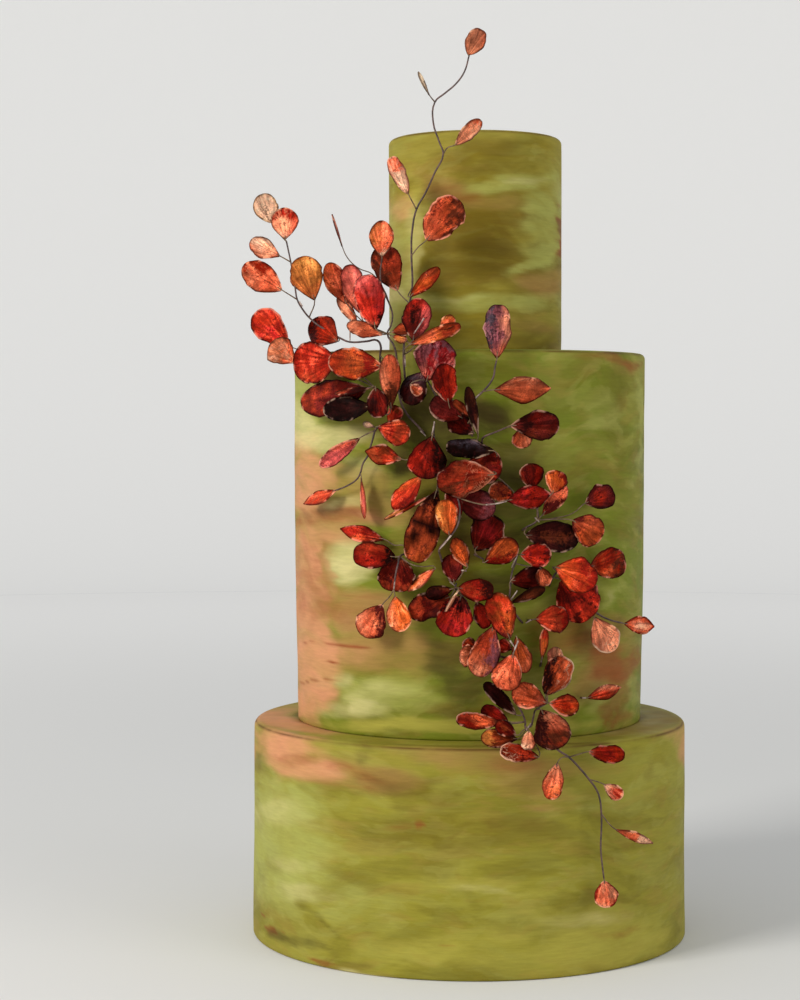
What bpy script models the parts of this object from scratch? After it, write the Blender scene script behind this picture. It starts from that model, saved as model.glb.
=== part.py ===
"""Three-tier wedding cake with a trailing spray of wafer-paper leaves.

Three round fondant tiers stand on each other. A spray of leaves on wires falls across their
front from the upper left to the lower right. Each twig is one solid: its stem, the wires
that branch from it and its leaves, fused together, with the stem's end at the cake's wall.

The tiers stand on z = 0 with the bottom tier's axis on Z. The front looks along -Y.

The spray is laid out on an elevation: x and z are millimetres on the upright plane through
the cake's axis, as seen from VIEWPOINT. A point's third number, "ahead", is how far it stands
in front of the surface that the spray lies on. None there puts it at the cake's wall.
"""
import math
import random

import bmesh
import bpy
from mathutils import Vector

MM = 0.001

# ---------------------------------------------------------------- tiers, in millimetres
GAP = 0.3                      # air between two solids that touch in the real cake
BOTTOM_RADIUS = 126.0
BOTTOM_FOOT_RADIUS = 127.0
BOTTOM_TOP = 125.0
MIDDLE_RADIUS = 102.3
MIDDLE_FOOT_RADIUS = 100.4
MIDDLE_STRAIGHT_FROM = 245.0   # below this height the middle tier narrows to its foot
MIDDLE_TOP = 338.0
TOP_RADIUS = 50.3
TOP_TOP = 463.0
TOP_SHIFT = 3.4                # the top tier stands a little to the right of the axis
RIM_ROUND = 3.2                # rounding of a tier's upper edge
FOOT_ROUND = 1.0               # bevel of a tier's lower edge
RIM_STEPS = 2
TIER_SIDES = 48

# ---------------------------------------------------------------- the spray, in millimetres
VIEWPOINT = Vector((0.0, -1277.0, 297.5))
LAY_HEIGHTS = (104.0, 135.0, 345.0, 420.0)
LAY_RADII = (127.0, 102.3, 102.3, 52.0)
LAY_LEAST = 45.0               # the lay surface never falls further back than this
MIDDLE_SEEN_FROM = 110.0       # heights on the elevation at which each tier's wall starts
TOP_SEEN_FROM = 342.0
ROOT_GAP = 0.8                 # between a stem's end and the wall it points at

LEAF_THICK = 0.8
LEAF_ROWS = 4
LEAF_FIRST = 0.06              # share of the leaf's length at its first and last row
LEAF_LAST = 0.975
LEAF_BULGE = 1.45              # puts the broadest place at 0.62 of the length
LEAF_LEAST = 0.55              # least half width, so that the wire fits into the leaf's base
MIDRIB_END = 0.13              # how far up the leaf its wire reaches
LEAF_BOW = (-0.5, 1.5)         # how far the middle of a leaf may arch forwards
LEAF_CUP = (-1.2, 1.6)         # how far its two edges may curl forwards
STEM_THICK = 1.3
WIRE_THICK = 0.7
WELD = 0.001                   # closer points of one piece are the same point
KEPT_SHARE = 0.72              # of a twig's triangles: what goes are the union's slivers


def leaf(fork, base, tip, width, roll=0.0, via=()):
    """One leaf: the stem point its wire leaves, its two ends, the width that is seen,
    how much nearer its left edge stands than its right, and the wire's own route."""
    return {"fork": fork, "base": base, "tip": tip, "width": width, "roll": roll, "via": via}


TWIGS = {
    "twig_crown": {
        "stem": [(-0.2, 512.6, 15), (-3, 503, 15), (-8, 496, 15), (-14.5, 490.5, 15), (-20.2, 485.5, 14),
                 (-21.2, 474, 13), (-17.5, 462, 12), (-15.3, 455.3, 12), (-20, 445, 12),
                 (-25.5, 433, 12), (-31, 423, 12), (-33.3, 412, 12), (-33.9, 396, 11),
                 (-33.4, 378, 10), (-35, 368, 10), (-37, 358, 9), (-38, 348, 9), (-38.5, 338, 8),
                 (-38, 328, 6), (-37, 320, None)],
        "leaves": [
            leaf(0, (-0.9, 513, 15), (7, 527.6, 20), 12, 3),
            leaf(4, (-23.5, 489.7, 16), (-30, 503.3, 19), 2.4, 8),
            leaf(7, (-8.5, 460.5, 15), (6.8, 475, 19), 8.6, 7, [(-13, 458.8, 13)]),
            leaf(10, (-35.7, 432, 15), (-46, 453.7, 20), 9.6, -8),
            leaf(12, (-25.3, 405, 16), (-7, 429.5, 21), 22, 4, [(-30, 401, 13)]),
            leaf(13, (-35, 372, 15), (-17.5, 389, 19), 9, 7),
            leaf(14, (-42, 375.5, 11), (-52.5, 402, 12), 17.5, 3),
            leaf(16, (-33, 346.5, 21), (-29, 371.3, 25), 17.5, -3),
            leaf(17, (-35, 344, 25), (-5, 355.5, 30), 8.5, 8),
            leaf(17, (-17, 353.5, 30), (-9, 360.5, 33), 8.5, 3, [(-33, 342, 20), (-27, 349, 25)]),
        ],
    },
    "twig_cluster": {
        "stem": [(-51.2, 394, 18), (-52.2, 385, 19), (-51, 377, 18), (-46.5, 367, 16), (-45, 361, 15),
                 (-46, 355, 14.5), (-48, 350.5, 14), (-44, 343, 11), (-42.8, 338, 9),
                 (-42.2, 330, 8), (-41.5, 320, 8), (-40.3, 311, 7), (-37, 304, 6), (-28, 294, 4),
                 (-26, 291.3, None)],
        "leaves": [
            leaf(0, (-51.2, 395.5, 18), (-51.5, 416.8, 22), 14.5, -3),
            leaf(6, (-72, 368, 7), (-83, 392, 7), 14, 2, [(-60, 356, 9)]),
            leaf(6, (-64, 362.5, 13), (-71, 391, 15), 14, -2, [(-60, 355, 12)]),
            leaf(6, (-54.7, 353, 21), (-61, 385, 26), 18, 3),
            leaf(6, (-66, 357, 9), (-77, 372, 6), 7, 3, [(-58, 352.5, 11)]),
            leaf(6, (-50.5, 350, 18), (-72, 356, 20), 9.5, 5),
            leaf(6, (-45.5, 351.5, 17), (-33, 354.5, 16), 7.5, -2),
            leaf(6, (-45, 349, 17), (-36.5, 347, 16), 6, 2),
            leaf(3, (-74.5, 401.5, 9), (-80.5, 420.5, 12), 1.6, 10,
                 [(-50, 376, 8), (-57, 385.5, 8), (-66, 389.5, 8), (-71.5, 395, 8)]),
        ],
    },
    "twig_arch": {
        "stem": [(-107.3, 404.5, 18), (-104.8, 392.5, 18), (-102.3, 378, 18), (-101, 370.5, 18),
                 (-98, 365, 18), (-94, 360, 17), (-84, 352.5, 14), (-76, 348, 13), (-70, 345.6, 13),
                 (-60, 346, 13), (-54, 346.5, 13), (-52, 343.5, 12), (-52.3, 338, 9),
                 (-52, 328, None)],
        "leaves": [
            leaf(0, (-116, 415.5, 19), (-122.3, 432.3, 21), 14.8, 2, [(-111.5, 409, 17)]),
            leaf(0, (-108, 406, 20), (-108.5, 424.5, 23), 16, -3),
            leaf(1, (-111, 396, 20), (-128.8, 404.8, 22), 12, 5),
            leaf(3, (-109.8, 376, 21), (-133, 390.5, 23), 18, 3),
            leaf(5, (-90.7, 370, 20), (-99, 395.7, 23), 20, -3),
            leaf(7, (-106, 343.5, 6), (-126, 363, 6), 18.5, -2, [(-88, 343, 6), (-98, 341, 5)]),
            leaf(7, (-77, 346, 16), (-93.4, 357.5, 19), 17.8, 2),
            leaf(12, (-50.5, 331.5, 18), (-83, 334.5, 25), 19, 3),
        ],
    },
    "twig_wine": {
        "stem": [(-55.5, 319, 14), (-54.5, 313, 10), (-53, 306, 5), (-52, 302, None)],
        "leaves": [
            leaf(0, (-78, 335, 16), (-103.5, 332.5, 20), 24, -2, [(-62, 325, 11), (-70, 331, 12)]),
            leaf(0, (-101.5, 333.5, 15), (-117, 345, 17), 16.5, 2, [(-66, 324, 8), (-84, 330, 9)]),
            leaf(0, (-60, 318.5, 13), (-99, 309, 16), 20, 2),
            leaf(0, (-57.5, 319, 18), (-79, 315.5, 21), 3.8, 8),
            leaf(1, (-57, 308, 16), (-86, 305.5, 23), 15, 3),
            leaf(0, (-55, 319, 20), (-53, 301.5, 22), 13.5, 2),
            leaf(2, (-46, 306, 19), (-46.7, 338.5, 22), 13, 5, [(-48.5, 303, 12)]),
        ],
    },
    "twig_low_left": {
        "stem": [(-77.5, 258.7, 8), (-71, 261.5, 8), (-66, 265, 8), (-64, 268.5, 8), (-62.5, 274, 9),
                 (-59.5, 279, 9), (-58, 284, 9), (-56.5, 289, 9), (-55, 294, 9), (-52, 296.5, 7),
                 (-48, 297, None)],
        "leaves": [
            leaf(0, (-78, 258.7, 8), (-97.5, 250.5, 12), 7.8, 8),
            leaf(3, (-63.5, 266.5, 9), (-61.5, 242, 11), 3.6, 9),
            leaf(8, (-64, 289.5, 11), (-88, 272.8, 15), 9.5, -8),
            leaf(8, (-54, 296, 12), (-34.8, 290.5, 17), 15.5, 4),
            leaf(8, (-55.8, 296, 11), (-62.5, 298.2, 13), 3.6, 5),
            leaf(9, (-47.5, 298.5, 8), (-41, 307.5, 10), 9.5, -3),
        ],
    },
    "twig_heart_top": {
        "stem": [(-24.5, 323, 9), (-18, 312, 8), (-10, 304, 7), (-2, 296, 5), (3, 289, None)],
        "leaves": [
            leaf(0, (-25, 323, 14), (-16, 347.5, 19), 24.5, 3),
            leaf(0, (-27.5, 328, 11), (-36.5, 309.5, 13), 16, 3),
            leaf(0, (-34.5, 320.5, 17), (-28, 315.5, 18), 7, 2, [(-30, 323, 16)]),
            leaf(2, (-12, 309.5, 19), (-15.5, 333, 25), 15.5, 3),
            leaf(2, (-4, 301, 14), (-22.5, 311, 17), 15, 2),
            leaf(3, (3, 292, 9), (-12, 302, 10), 13, 2),
            leaf(3, (0.5, 302, 20), (-9, 311.5, 22), 5.5, 5),
            leaf(4, (5.3, 291, 15), (-1, 319.5, 20), 7, 8, [(4.5, 288, 8)]),
        ],
    },
    "twig_upper_right": {
        "stem": [(16, 334.5, 8), (15, 330, 8), (14.5, 326, 8), (12, 321, 8), (8, 316.5, 8),
                 (3, 311.5, 6), (2, 304, None)],
        "leaves": [
            leaf(0, (16.3, 336, 8), (17, 367.5, 14), 16.5, -3),
            leaf(4, (14, 317.5, 11), (48, 318.5, 16), 15.5, 3),
        ],
    },
    "twig_dark_right": {
        "stem": [(22, 295.5, 10), (15, 292.5, 9), (9, 290, 7), (7.5, 286, None)],
        "leaves": [
            leaf(0, (24, 296.5, 12), (53, 297.5, 17), 17.5, 3),
            leaf(0, (31, 295.5, 7), (31, 283.5, 9), 12, 2, [(27, 296, 8)]),
        ],
    },
    "twig_heart_left": {
        "stem": [(-20.3, 298, 10), (-20.8, 292, 9), (-18.5, 280, 7), (-18, 268, 6), (-18.5, 258, 6),
                 (-17, 249, None)],
        "leaves": [
            leaf(1, (-21.5, 290, 14), (-30, 266, 19), 19, -3),
            leaf(2, (-39.5, 276.8, 11), (-61.3, 281.8, 14), 12, -5, [(-27, 284, 9), (-36, 276.5, 10)]),
            leaf(3, (-27.5, 267.5, 10), (-44.8, 247.5, 14), 12.4, 3),
            leaf(4, (-22, 256, 12), (-50, 241.5, 16), 3.2, 9),
            leaf(4, (-19.8, 257, 15), (-32.7, 216.5, 19), 20, -4),
        ],
    },
    "twig_heart": {
        "stem": [(16, 276, 8), (13, 270, 7), (6, 264, 6), (-1, 259, 5), (-4, 256, None)],
        "leaves": [
            leaf(0, (15, 281.5, 16), (-13.5, 284.5, 19), 11.5, 3),
            leaf(3, (-3, 272, 9), (19.5, 274, 12), 21.5, 2),
            leaf(1, (15.3, 268, 18), (-19, 263.5, 24), 20.5, -3),
            leaf(3, (-6, 253.5, 11), (15.5, 248, 13), 15.5, 2),
            leaf(1, (27, 255, 12), (11.7, 259.5, 15), 12, 2),
        ],
    },
    "twig_flame": {
        "stem": [(-11, 257.5, 13), (-7, 254.3, 18), (-5.7, 250, 19), (-5.5, 245, 20), (-6.5, 238.5, 20),
                 (-10.5, 232, 20), (-14, 228, 19), (-17.5, 223.3, 17), (-16.8, 220, 14),
                 (-15, 214, 9), (-10.5, 204, None)],
        "leaves": [
            leaf(5, (-11.5, 232.5, 21), (-15, 252.5, 25), 12.8, 4),
            leaf(3, (-7, 245, 16), (-13, 257, 18), 8.5, 3),
            leaf(9, (-0.7, 213.5, 14), (-9, 230.5, 17), 10.5, 4, [(-8, 205.5, 9), (-3, 211, 12)]),
            leaf(9, (-9, 205, 10), (-11, 218, 11), 10.5, 2),
            leaf(1, (22, 252.5, 18), (48, 256.7, 22), 14.5, -2,
                 [(0, 252, 19), (5, 250.7, 19), (10, 250, 19), (15, 250.6, 19)]),
        ],
    },
    "twig_right_high": {
        "stem": [(43, 257, 9), (40, 250, 10), (40, 241, 10), (34, 237, 7), (31, 235, None)],
        "leaves": [
            leaf(0, (37, 259.5, 10), (36.5, 274.5, 12), 14.5, 2),
            leaf(2, (49, 257, 17), (53, 270, 19), 13.5, 2, [(41, 249.5, 16)]),
            leaf(2, (43, 244, 13), (57, 261.5, 15), 10.5, -4),
            leaf(2, (68, 251, 15), (85, 258, 19), 14.5, 3, [(52, 242.5, 12), (61, 245.2, 14)]),
            leaf(3, (33, 232.5, 11), (64.5, 230.5, 16), 18, 2),
            leaf(2, (60.5, 241, 20), (78, 230.8, 23), 18, 3, [(50, 241.5, 17)]),
        ],
    },
    "twig_right_mid": {
        "stem": [(70, 213, 11), (61, 211, 10), (52, 210.5, 9), (49.5, 207.5, 8), (47, 202, None)],
        "leaves": [
            leaf(2, (50.6, 213.5, 19), (75.3, 205, 24), 20, -3),
            leaf(0, (71, 213.8, 14), (92, 217.5, 17), 18.5, 3),
            leaf(3, (54, 206, 11), (72, 184, 15), 25, 2),
        ],
    },
    "twig_right_low": {
        "stem": [(28.5, 220.5, 15), (27.2, 215.5, 12), (25.5, 211, 10), (24.2, 200, 9),
                 (24, 191.5, 8), (26, 187.5, 6), (29, 183.5, 4), (32, 180, None)],
        "leaves": [
            leaf(0, (30, 220.7, 17), (48.5, 220.7, 21), 14.5, 2),
            leaf(3, (26, 204.5, 10), (41.5, 208, 12), 12, 2),
            leaf(4, (24.5, 192.5, 9), (45, 201, 12), 6.5, 7),
            leaf(1, (42, 213, 14), (45.5, 202.5, 15), 9.5, -3, [(34, 214, 13)]),
        ],
    },
    "twig_crimson": {
        "stem": [(8.5, 218, 9), (5.5, 219.5, 6), (3, 221, None)],
        "leaves": [
            leaf(1, (5, 222.5, 7), (15.5, 243.5, 6.5), 19.5, 2),
            leaf(0, (8.9, 216, 14), (28.5, 228, 19), 15, 3),
        ],
    },
    "twig_fan_left": {
        "stem": [(-44.2, 200, 17), (-43, 210, 18), (-41.5, 216, 16), (-40.5, 219.5, 12),
                 (-38, 221, 7), (-36, 221.5, None)],
        "leaves": [
            leaf(4, (-49.5, 229.5, 10), (-76, 236, 14), 9.8, 6, [(-38, 225.5, 8), (-44, 226.2, 9)]),
            leaf(3, (-43, 219.3, 12), (-68.3, 221, 16), 15.8, -3),
            leaf(4, (-41.5, 219, 9), (-43.5, 199, 11), 22, 2),
            leaf(0, (-43.7, 196.5, 16), (-40, 175.3, 20), 14.8, 3),
            leaf(0, (-50.7, 191.5, 13), (-62.5, 172.5, 17), 18.6, -3, [(-47, 195.5, 14)]),
            leaf(3, (-19.8, 212.8, 14), (-36, 199, 16), 6.5, 7, [(-33.5, 214.7, 13), (-27, 213.5, 14)]),
        ],
    },
    "twig_low_heart": {
        "stem": [(-7.5, 204, 9), (-7.8, 201, 9), (-5, 197, 7), (-1, 193, None)],
        "leaves": [
            leaf(1, (-11, 196, 10), (-35.3, 185.8, 14), 15.8, 2),
            leaf(1, (-9.5, 200.5, 14), (-25.5, 197, 16), 8.5, -2),
            leaf(1, (-6.3, 199.7, 19), (-14, 187.3, 22), 2.2, 7),
            leaf(2, (-4.5, 196.5, 14), (-11.5, 172.8, 18), 20.5, 2),
            leaf(1, (-6.5, 201, 14), (14.5, 198.7, 17), 13.5, 2),
            leaf(2, (4.5, 193, 8), (10.5, 177.5, 10), 10, 2),
        ],
    },
    "twig_tail_left": {
        "stem": [(24.2, 170, 12), (27.3, 165.3, 13), (28.5, 159, 7), (28.7, 154, None)],
        "leaves": [
            leaf(0, (24, 171, 13), (15.5, 197.5, 16), 13.8, -3),
            leaf(0, (15, 179.5, 13), (5, 149, 17), 18.5, 2, [(20, 176, 10)]),
            leaf(2, (8, 161, 10), (-5.7, 160.7, 12), 13, 2, [(18, 160, 8)]),
            leaf(2, (6, 164, 6), (-3.5, 169.5, 7), 9, 2, [(18, 161, 7)]),
            leaf(1, (26.3, 162.5, 18), (20, 141, 23), 17.8, 3),
            leaf(1, (25.5, 165, 9), (17, 168.5, 8), 8.5, 2),
            leaf(1, (27.7, 172.8, 12), (33.8, 151.2, 14), 11.5, -2, [(28.8, 169.5, 14)]),
        ],
    },
    "twig_tail": {
        "stem": [(46.3, 133.2, 13), (42.5, 131, 12), (39.3, 129, 12), (38, 124.5, 13), (34.4, 118.5, 14),
                 (33.3, 122, 12), (32, 126, 10), (29.5, 131, 6), (28.5, 135, None)],
        "leaves": [
            leaf(0, (46.3, 133, 16), (25.5, 141, 20), 15.8, -2),
            leaf(0, (47, 133.3, 15), (65, 131, 19), 12.8, 3),
            leaf(0, (45, 138, 12), (58, 160, 16), 17, 3),
            leaf(0, (49.5, 152, 9), (51.5, 166.5, 10), 9.5, 2, [(46.5, 144, 8)]),
            leaf(2, (42.3, 129.5, 16), (54.3, 107, 22), 22, -2),
            leaf(4, (35.4, 117, 18), (35, 105.6, 22), 8.8, 2),
            leaf(4, (29, 112, 15), (7, 112.7, 19), 11.5, 2, [(32, 115, 14)]),
            leaf(4, (28, 114, 18), (16, 121.5, 20), 9.5, 2, [(32, 117, 16)]),
            leaf(5, (23.5, 122, 11), (7.5, 130, 14), 9.5, 2),
            leaf(5, (19.5, 121, 16), (-7.5, 123.7, 20), 9.8, -2, [(28, 121, 14)]),
            leaf(4, (41.5, 101.3, 17), (18.5, 105.3, 20), 10.8, 2, [(37.5, 112, 14)]),
            leaf(6, (28.3, 126, 8), (9, 145, 11), 9, 4),
        ],
    },
    "twig_drop": {
        "stem": [(79.8, 29.5, 10), (79, 36, 10), (78.3, 42, 9), (77.9, 48, 9), (78.3, 60, 8),
                 (78.2, 68, 8), (76.9, 78, 8), (75, 82.5, 8), (71, 88, 8), (66, 94, 8), (59, 101.2, 9),
                 (52, 106, 11), (49, 111, 8), (47, 117, None)],
        "leaves": [
            leaf(0, (80, 28.3, 11), (82, 12.3, 14), 14.5, 3),
            leaf(5, (86.5, 58.6, 12), (108.8, 50.6, 16), 5.8, 7, [(82, 62.7, 10)]),
            leaf(8, (79.5, 85.3, 12), (90.6, 77.8, 14), 8.8, 6, [(75, 87, 9)]),
            leaf(10, (70.5, 104.5, 15), (92, 102.5, 19), 10.8, 3, [(65, 103, 12)]),
            leaf(10, (52.3, 98, 11), (48, 76.3, 15), 12.6, 3, [(55, 101, 10)]),
        ],
    },
    "twig_far_right": {
        "stem": [(90, 180.6, 10), (84, 182, 9), (78, 184.5, 8), (73.8, 187, 7), (68, 188.5, 4),
                 (65, 189, None)],
        "leaves": [
            leaf(0, (91, 180.3, 11), (109, 178.7, 16), 10.8, 3),
            leaf(3, (73.6, 184.3, 10), (84.5, 164, 15), 17, 3),
        ],
    },
    "leaf_mid": {
        "stem": [(37.5, 182.4, 10), (35.5, 182, 6), (34.5, 182, None)],
        "leaves": [leaf(0, (38.7, 182.7, 11), (59, 183, 16), 15.6, -2)],
    },
    "leaf_upright": {
        "stem": [(42.8, 157.8, 6), (42.3, 156, 3), (42, 155, None)],
        "leaves": [leaf(0, (43, 159, 7), (45, 177.5, 6), 5.6, 5)],
    },
    "leaf_low_right": {
        "stem": [(68.5, 136.3, 9), (67, 136.3, 5), (66, 136.3, None)],
        "leaves": [leaf(0, (69.5, 136.3, 10), (89.5, 143, 13), 8.6, 6)],
    },
}

COLOURS = {                    # base colour and roughness
    "tier": ((0.23, 0.22, 0.045, 1.0), 0.55),
    "twig": ((0.35, 0.04, 0.02, 1.0), 0.5),
}


def material(name, kind):
    """A plain Principled material in one of the two colours."""
    colour, roughness = COLOURS[kind]
    made = bpy.data.materials.new(name)
    made.use_nodes = True
    shader = made.node_tree.nodes["Principled BSDF"]
    shader.inputs["Base Color"].default_value = colour
    shader.inputs["Roughness"].default_value = roughness
    return made


# ---------------------------------------------------------------- tiers
def tier_profile(foot, top, foot_radius, radius, straight_from):
    """Half section of a tier, from the middle of its top down its outer side."""
    points = [(0.0, top)]
    for step in range(RIM_STEPS + 1):
        angle = math.radians(90.0 * step / RIM_STEPS)
        points.append((radius - RIM_ROUND + RIM_ROUND * math.sin(angle),
                       top - RIM_ROUND + RIM_ROUND * math.cos(angle)))
    if straight_from > foot:
        points.append((radius, straight_from))
        middle = (straight_from + foot) / 2
        points.append((radius - 0.3 * (radius - foot_radius), middle))
    points.append((foot_radius, foot + FOOT_ROUND))
    points.append((foot_radius - FOOT_ROUND, foot))
    points.append((0.0, foot))
    return points


def tier(name, collection, profile, shift=0.0):
    """A round tier turned from its half section."""
    mesh = bpy.data.meshes.new(name)
    bm = bmesh.new()
    vertices = [bm.verts.new((x * MM, 0.0, z * MM)) for x, z in profile]
    for upper, lower in zip(vertices, vertices[1:]):
        bm.edges.new((upper, lower))
    bm.to_mesh(mesh)
    bm.free()
    body = bpy.data.objects.new(name, mesh)
    body.location.x = shift * MM
    collection.objects.link(body)
    screw = body.modifiers.new("turn", "SCREW")
    screw.steps = TIER_SIDES
    screw.render_steps = TIER_SIDES
    screw.use_merge_vertices = True
    screw.merge_threshold = 0.00001
    screw.use_smooth_shade = True
    mesh.materials.append(material(name, "tier"))
    return body


# ---------------------------------------------------------------- placing the spray
def between(value, xs, ys):
    """Straight-line reading of ys at value, held level past both ends."""
    if value <= xs[0]:
        return ys[0]
    for x0, x1, y0, y1 in zip(xs, xs[1:], ys, ys[1:]):
        if value <= x1:
            return y0 + (y1 - y0) * (value - x0) / (x1 - x0)
    return ys[-1]


def lay_depth(x, z):
    """Depth of the surface that the spray lies on: the middle tier's wall, drawn in towards
    the top tier above it and out over the bottom tier below it."""
    radius = between(z, LAY_HEIGHTS, LAY_RADII)
    across = x * (1 + radius / VIEWPOINT.y)
    return -math.sqrt(max(radius ** 2 - across ** 2, LAY_LEAST ** 2))


def wall_depth(x, z):
    """Depth of the real wall of the tier that shows at this place."""
    if z > TOP_SEEN_FROM:
        radius, shift = TOP_RADIUS, TOP_SHIFT
    elif z > MIDDLE_SEEN_FROM:
        radius, shift = MIDDLE_RADIUS, 0.0
    else:
        radius, shift = BOTTOM_FOOT_RADIUS, 0.0
    across = x * (1 + radius / VIEWPOINT.y) - shift
    return -math.sqrt(radius ** 2 - across ** 2) - ROOT_GAP


def laid(x, z, ahead):
    """The place in space, in metres, of a point of the elevation."""
    depth = wall_depth(x, z) if ahead is None else lay_depth(x, z) - ahead
    nearness = (depth - VIEWPOINT.y) / -VIEWPOINT.y
    on_plane = Vector((x, 0.0, z))
    return (VIEWPOINT + (on_plane - VIEWPOINT) * nearness) * MM


def half_width(along):
    """Half the leaf's width at a share of its length: narrow at the base, round at the tip."""
    return math.sin(math.pi * along ** LEAF_BULGE) ** (0.9 - 0.4 * along)


def leaf_point(shape, along, across):
    """A point of the leaf's middle surface, with across from -1 to 1 and along from 0 to 1."""
    (x0, z0, a0), (x1, z1, a1) = shape["base"], shape["tip"]
    length = math.hypot(x1 - x0, z1 - z0)
    side_x, side_z = -(z1 - z0) / length, (x1 - x0) / length
    half = half_width(along)
    reach = across * max(half * shape["width"] / 2, LEAF_LEAST)
    ahead = a0 + (a1 - a0) * along
    ahead += across * half * shape["roll"] / 2
    ahead += shape["bow"] * 4 * along * (1 - along)
    ahead += shape["cup"] * (across * half) ** 2
    return laid(x0 + (x1 - x0) * along + side_x * reach, z0 + (z1 - z0) * along + side_z * reach, ahead)


# ---------------------------------------------------------------- the pieces of a twig
def leaf_solid(name, shape):
    """A thin wavy leaf: a triangulated sheet with thickness."""
    bm = bmesh.new()
    bmesh.ops.create_grid(bm, x_segments=2, y_segments=LEAF_ROWS, size=1.0)
    for vertex in bm.verts:
        along = LEAF_FIRST + (LEAF_LAST - LEAF_FIRST) * (vertex.co.y + 1) / 2
        vertex.co = leaf_point(shape, along, vertex.co.x)
    bmesh.ops.triangulate(bm, faces=bm.faces)
    mesh = bpy.data.meshes.new(name)
    bm.to_mesh(mesh)
    bm.free()
    sheet = bpy.data.objects.new(name, mesh)
    bpy.context.scene.collection.objects.link(sheet)
    solidify = sheet.modifiers.new("thickness", "SOLIDIFY")
    solidify.thickness = LEAF_THICK * MM
    solidify.offset = 0.0
    return as_mesh(sheet)


def wire_solid(name, points, thickness):
    """A four-sided wire through the given points."""
    curve = bpy.data.curves.new(name, "CURVE")
    curve.dimensions = "3D"
    curve.bevel_depth = thickness / 2 * MM
    curve.bevel_resolution = 0
    curve.use_fill_caps = True
    spline = curve.splines.new("POLY")
    spline.points.add(len(points) - 1)
    for point, place in zip(spline.points, points):
        point.co = (*place, 1.0)
    wire = bpy.data.objects.new(name, curve)
    bpy.context.scene.collection.objects.link(wire)
    return as_mesh(wire)


def as_mesh(source):
    """The evaluated object as a plain mesh object with its caps welded on."""
    evaluated = source.evaluated_get(bpy.context.evaluated_depsgraph_get())
    mesh = bpy.data.meshes.new_from_object(evaluated)
    bm = bmesh.new()
    bm.from_mesh(mesh)
    bmesh.ops.remove_doubles(bm, verts=bm.verts, dist=WELD * MM)
    bm.to_mesh(mesh)
    bm.free()
    made = bpy.data.objects.new(source.name + "_solid", mesh)
    made.matrix_world = source.matrix_world
    bpy.context.scene.collection.objects.link(made)
    bpy.data.objects.remove(source)
    return made


def tidied(mesh):
    """Splits a union's faces into triangles, and closes up the few edges that four share."""
    bm = bmesh.new()
    bm.from_mesh(mesh)
    bmesh.ops.triangulate(bm, faces=bm.faces)
    crossed = [edge for edge in bm.edges if len(edge.link_faces) > 2]
    bmesh.ops.collapse(bm, edges=crossed)
    bare = [edge for edge in bm.edges if not edge.link_faces]
    bmesh.ops.delete(bm, geom=bare, context="EDGES")
    bm.to_mesh(mesh)
    bm.free()


def fused(name, first, others, collection):
    """One solid from a first piece and the others, by one union. Thinning then takes out
    the slivers along the seams and leaves the large faces as they are."""
    pile = bpy.data.collections.new(name + "_pieces")
    bpy.context.scene.collection.children.link(pile)
    for piece in others:
        pile.objects.link(piece)
    union = first.modifiers.new("union", "BOOLEAN")
    union.operation = "UNION"
    union.operand_type = "COLLECTION"
    union.collection = pile
    evaluated = first.evaluated_get(bpy.context.evaluated_depsgraph_get())
    mesh = bpy.data.meshes.new_from_object(evaluated)
    for piece in [first, *others]:
        bpy.data.objects.remove(piece)
    bpy.data.collections.remove(pile)
    tidied(mesh)
    body = bpy.data.objects.new(name, mesh)
    collection.objects.link(body)
    thin = body.modifiers.new("thin", "DECIMATE")
    thin.ratio = KEPT_SHARE
    thin.use_collapse_triangulate = True
    mesh.materials.clear()
    mesh.materials.append(material(name, "twig"))
    return body


def twig(name, plan, collection):
    """A stem with its wires and leaves. Each leaf's fold and bow are drawn with its own seed."""
    stem = [laid(*point) for point in plan["stem"]]
    first = wire_solid(name + "_stem", stem, STEM_THICK)
    others = []
    for number, shape in enumerate(plan["leaves"]):
        draw = random.Random(f"{name} {number}")
        shape["bow"] = draw.uniform(*LEAF_BOW)
        shape["cup"] = draw.uniform(*LEAF_CUP)
        route = [stem[shape["fork"]]]
        route += [laid(*point) for point in shape["via"]]
        route += [leaf_point(shape, 0.0, 0.0), leaf_point(shape, MIDRIB_END, 0.0)]
        others.append(wire_solid(f"{name}_wire_{number}", route, WIRE_THICK))
        others.append(leaf_solid(f"{name}_leaf_{number}", shape))
    return fused(name, first, others, collection)


def main():
    for old in list(bpy.data.objects):
        bpy.data.objects.remove(old)
    cake = bpy.data.collections.new("wedding_cake")
    bpy.context.scene.collection.children.link(cake)
    tier("tier_bottom", cake,
         tier_profile(0.0, BOTTOM_TOP, BOTTOM_FOOT_RADIUS, BOTTOM_RADIUS, 0.0))
    tier("tier_middle", cake,
         tier_profile(BOTTOM_TOP + GAP, MIDDLE_TOP, MIDDLE_FOOT_RADIUS, MIDDLE_RADIUS,
                      MIDDLE_STRAIGHT_FROM))
    tier("tier_top", cake,
         tier_profile(MIDDLE_TOP + GAP, TOP_TOP, TOP_RADIUS, TOP_RADIUS, 0.0), TOP_SHIFT)
    for name, plan in TWIGS.items():
        twig(name, plan, cake)


main()
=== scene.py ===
# %% [markdown]
# # A painted three-tier cake with a spray of paper leaves
# The cake is three round tiers of sugar paste, painted by hand in olive, green, cream, peach and
# rust. A loose spray of wafer-paper leaves on thin wires falls across the front. The solids that
# are loaded here give every size. This script lays the finished surfaces over them: fine turned
# tiers with their paint, and for each twig its leaves and its wires.

# %% Load the cake's solids
import math
import random

import bmesh
import bpy
import numpy as np
from mathutils import Euler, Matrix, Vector, noise


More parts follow.
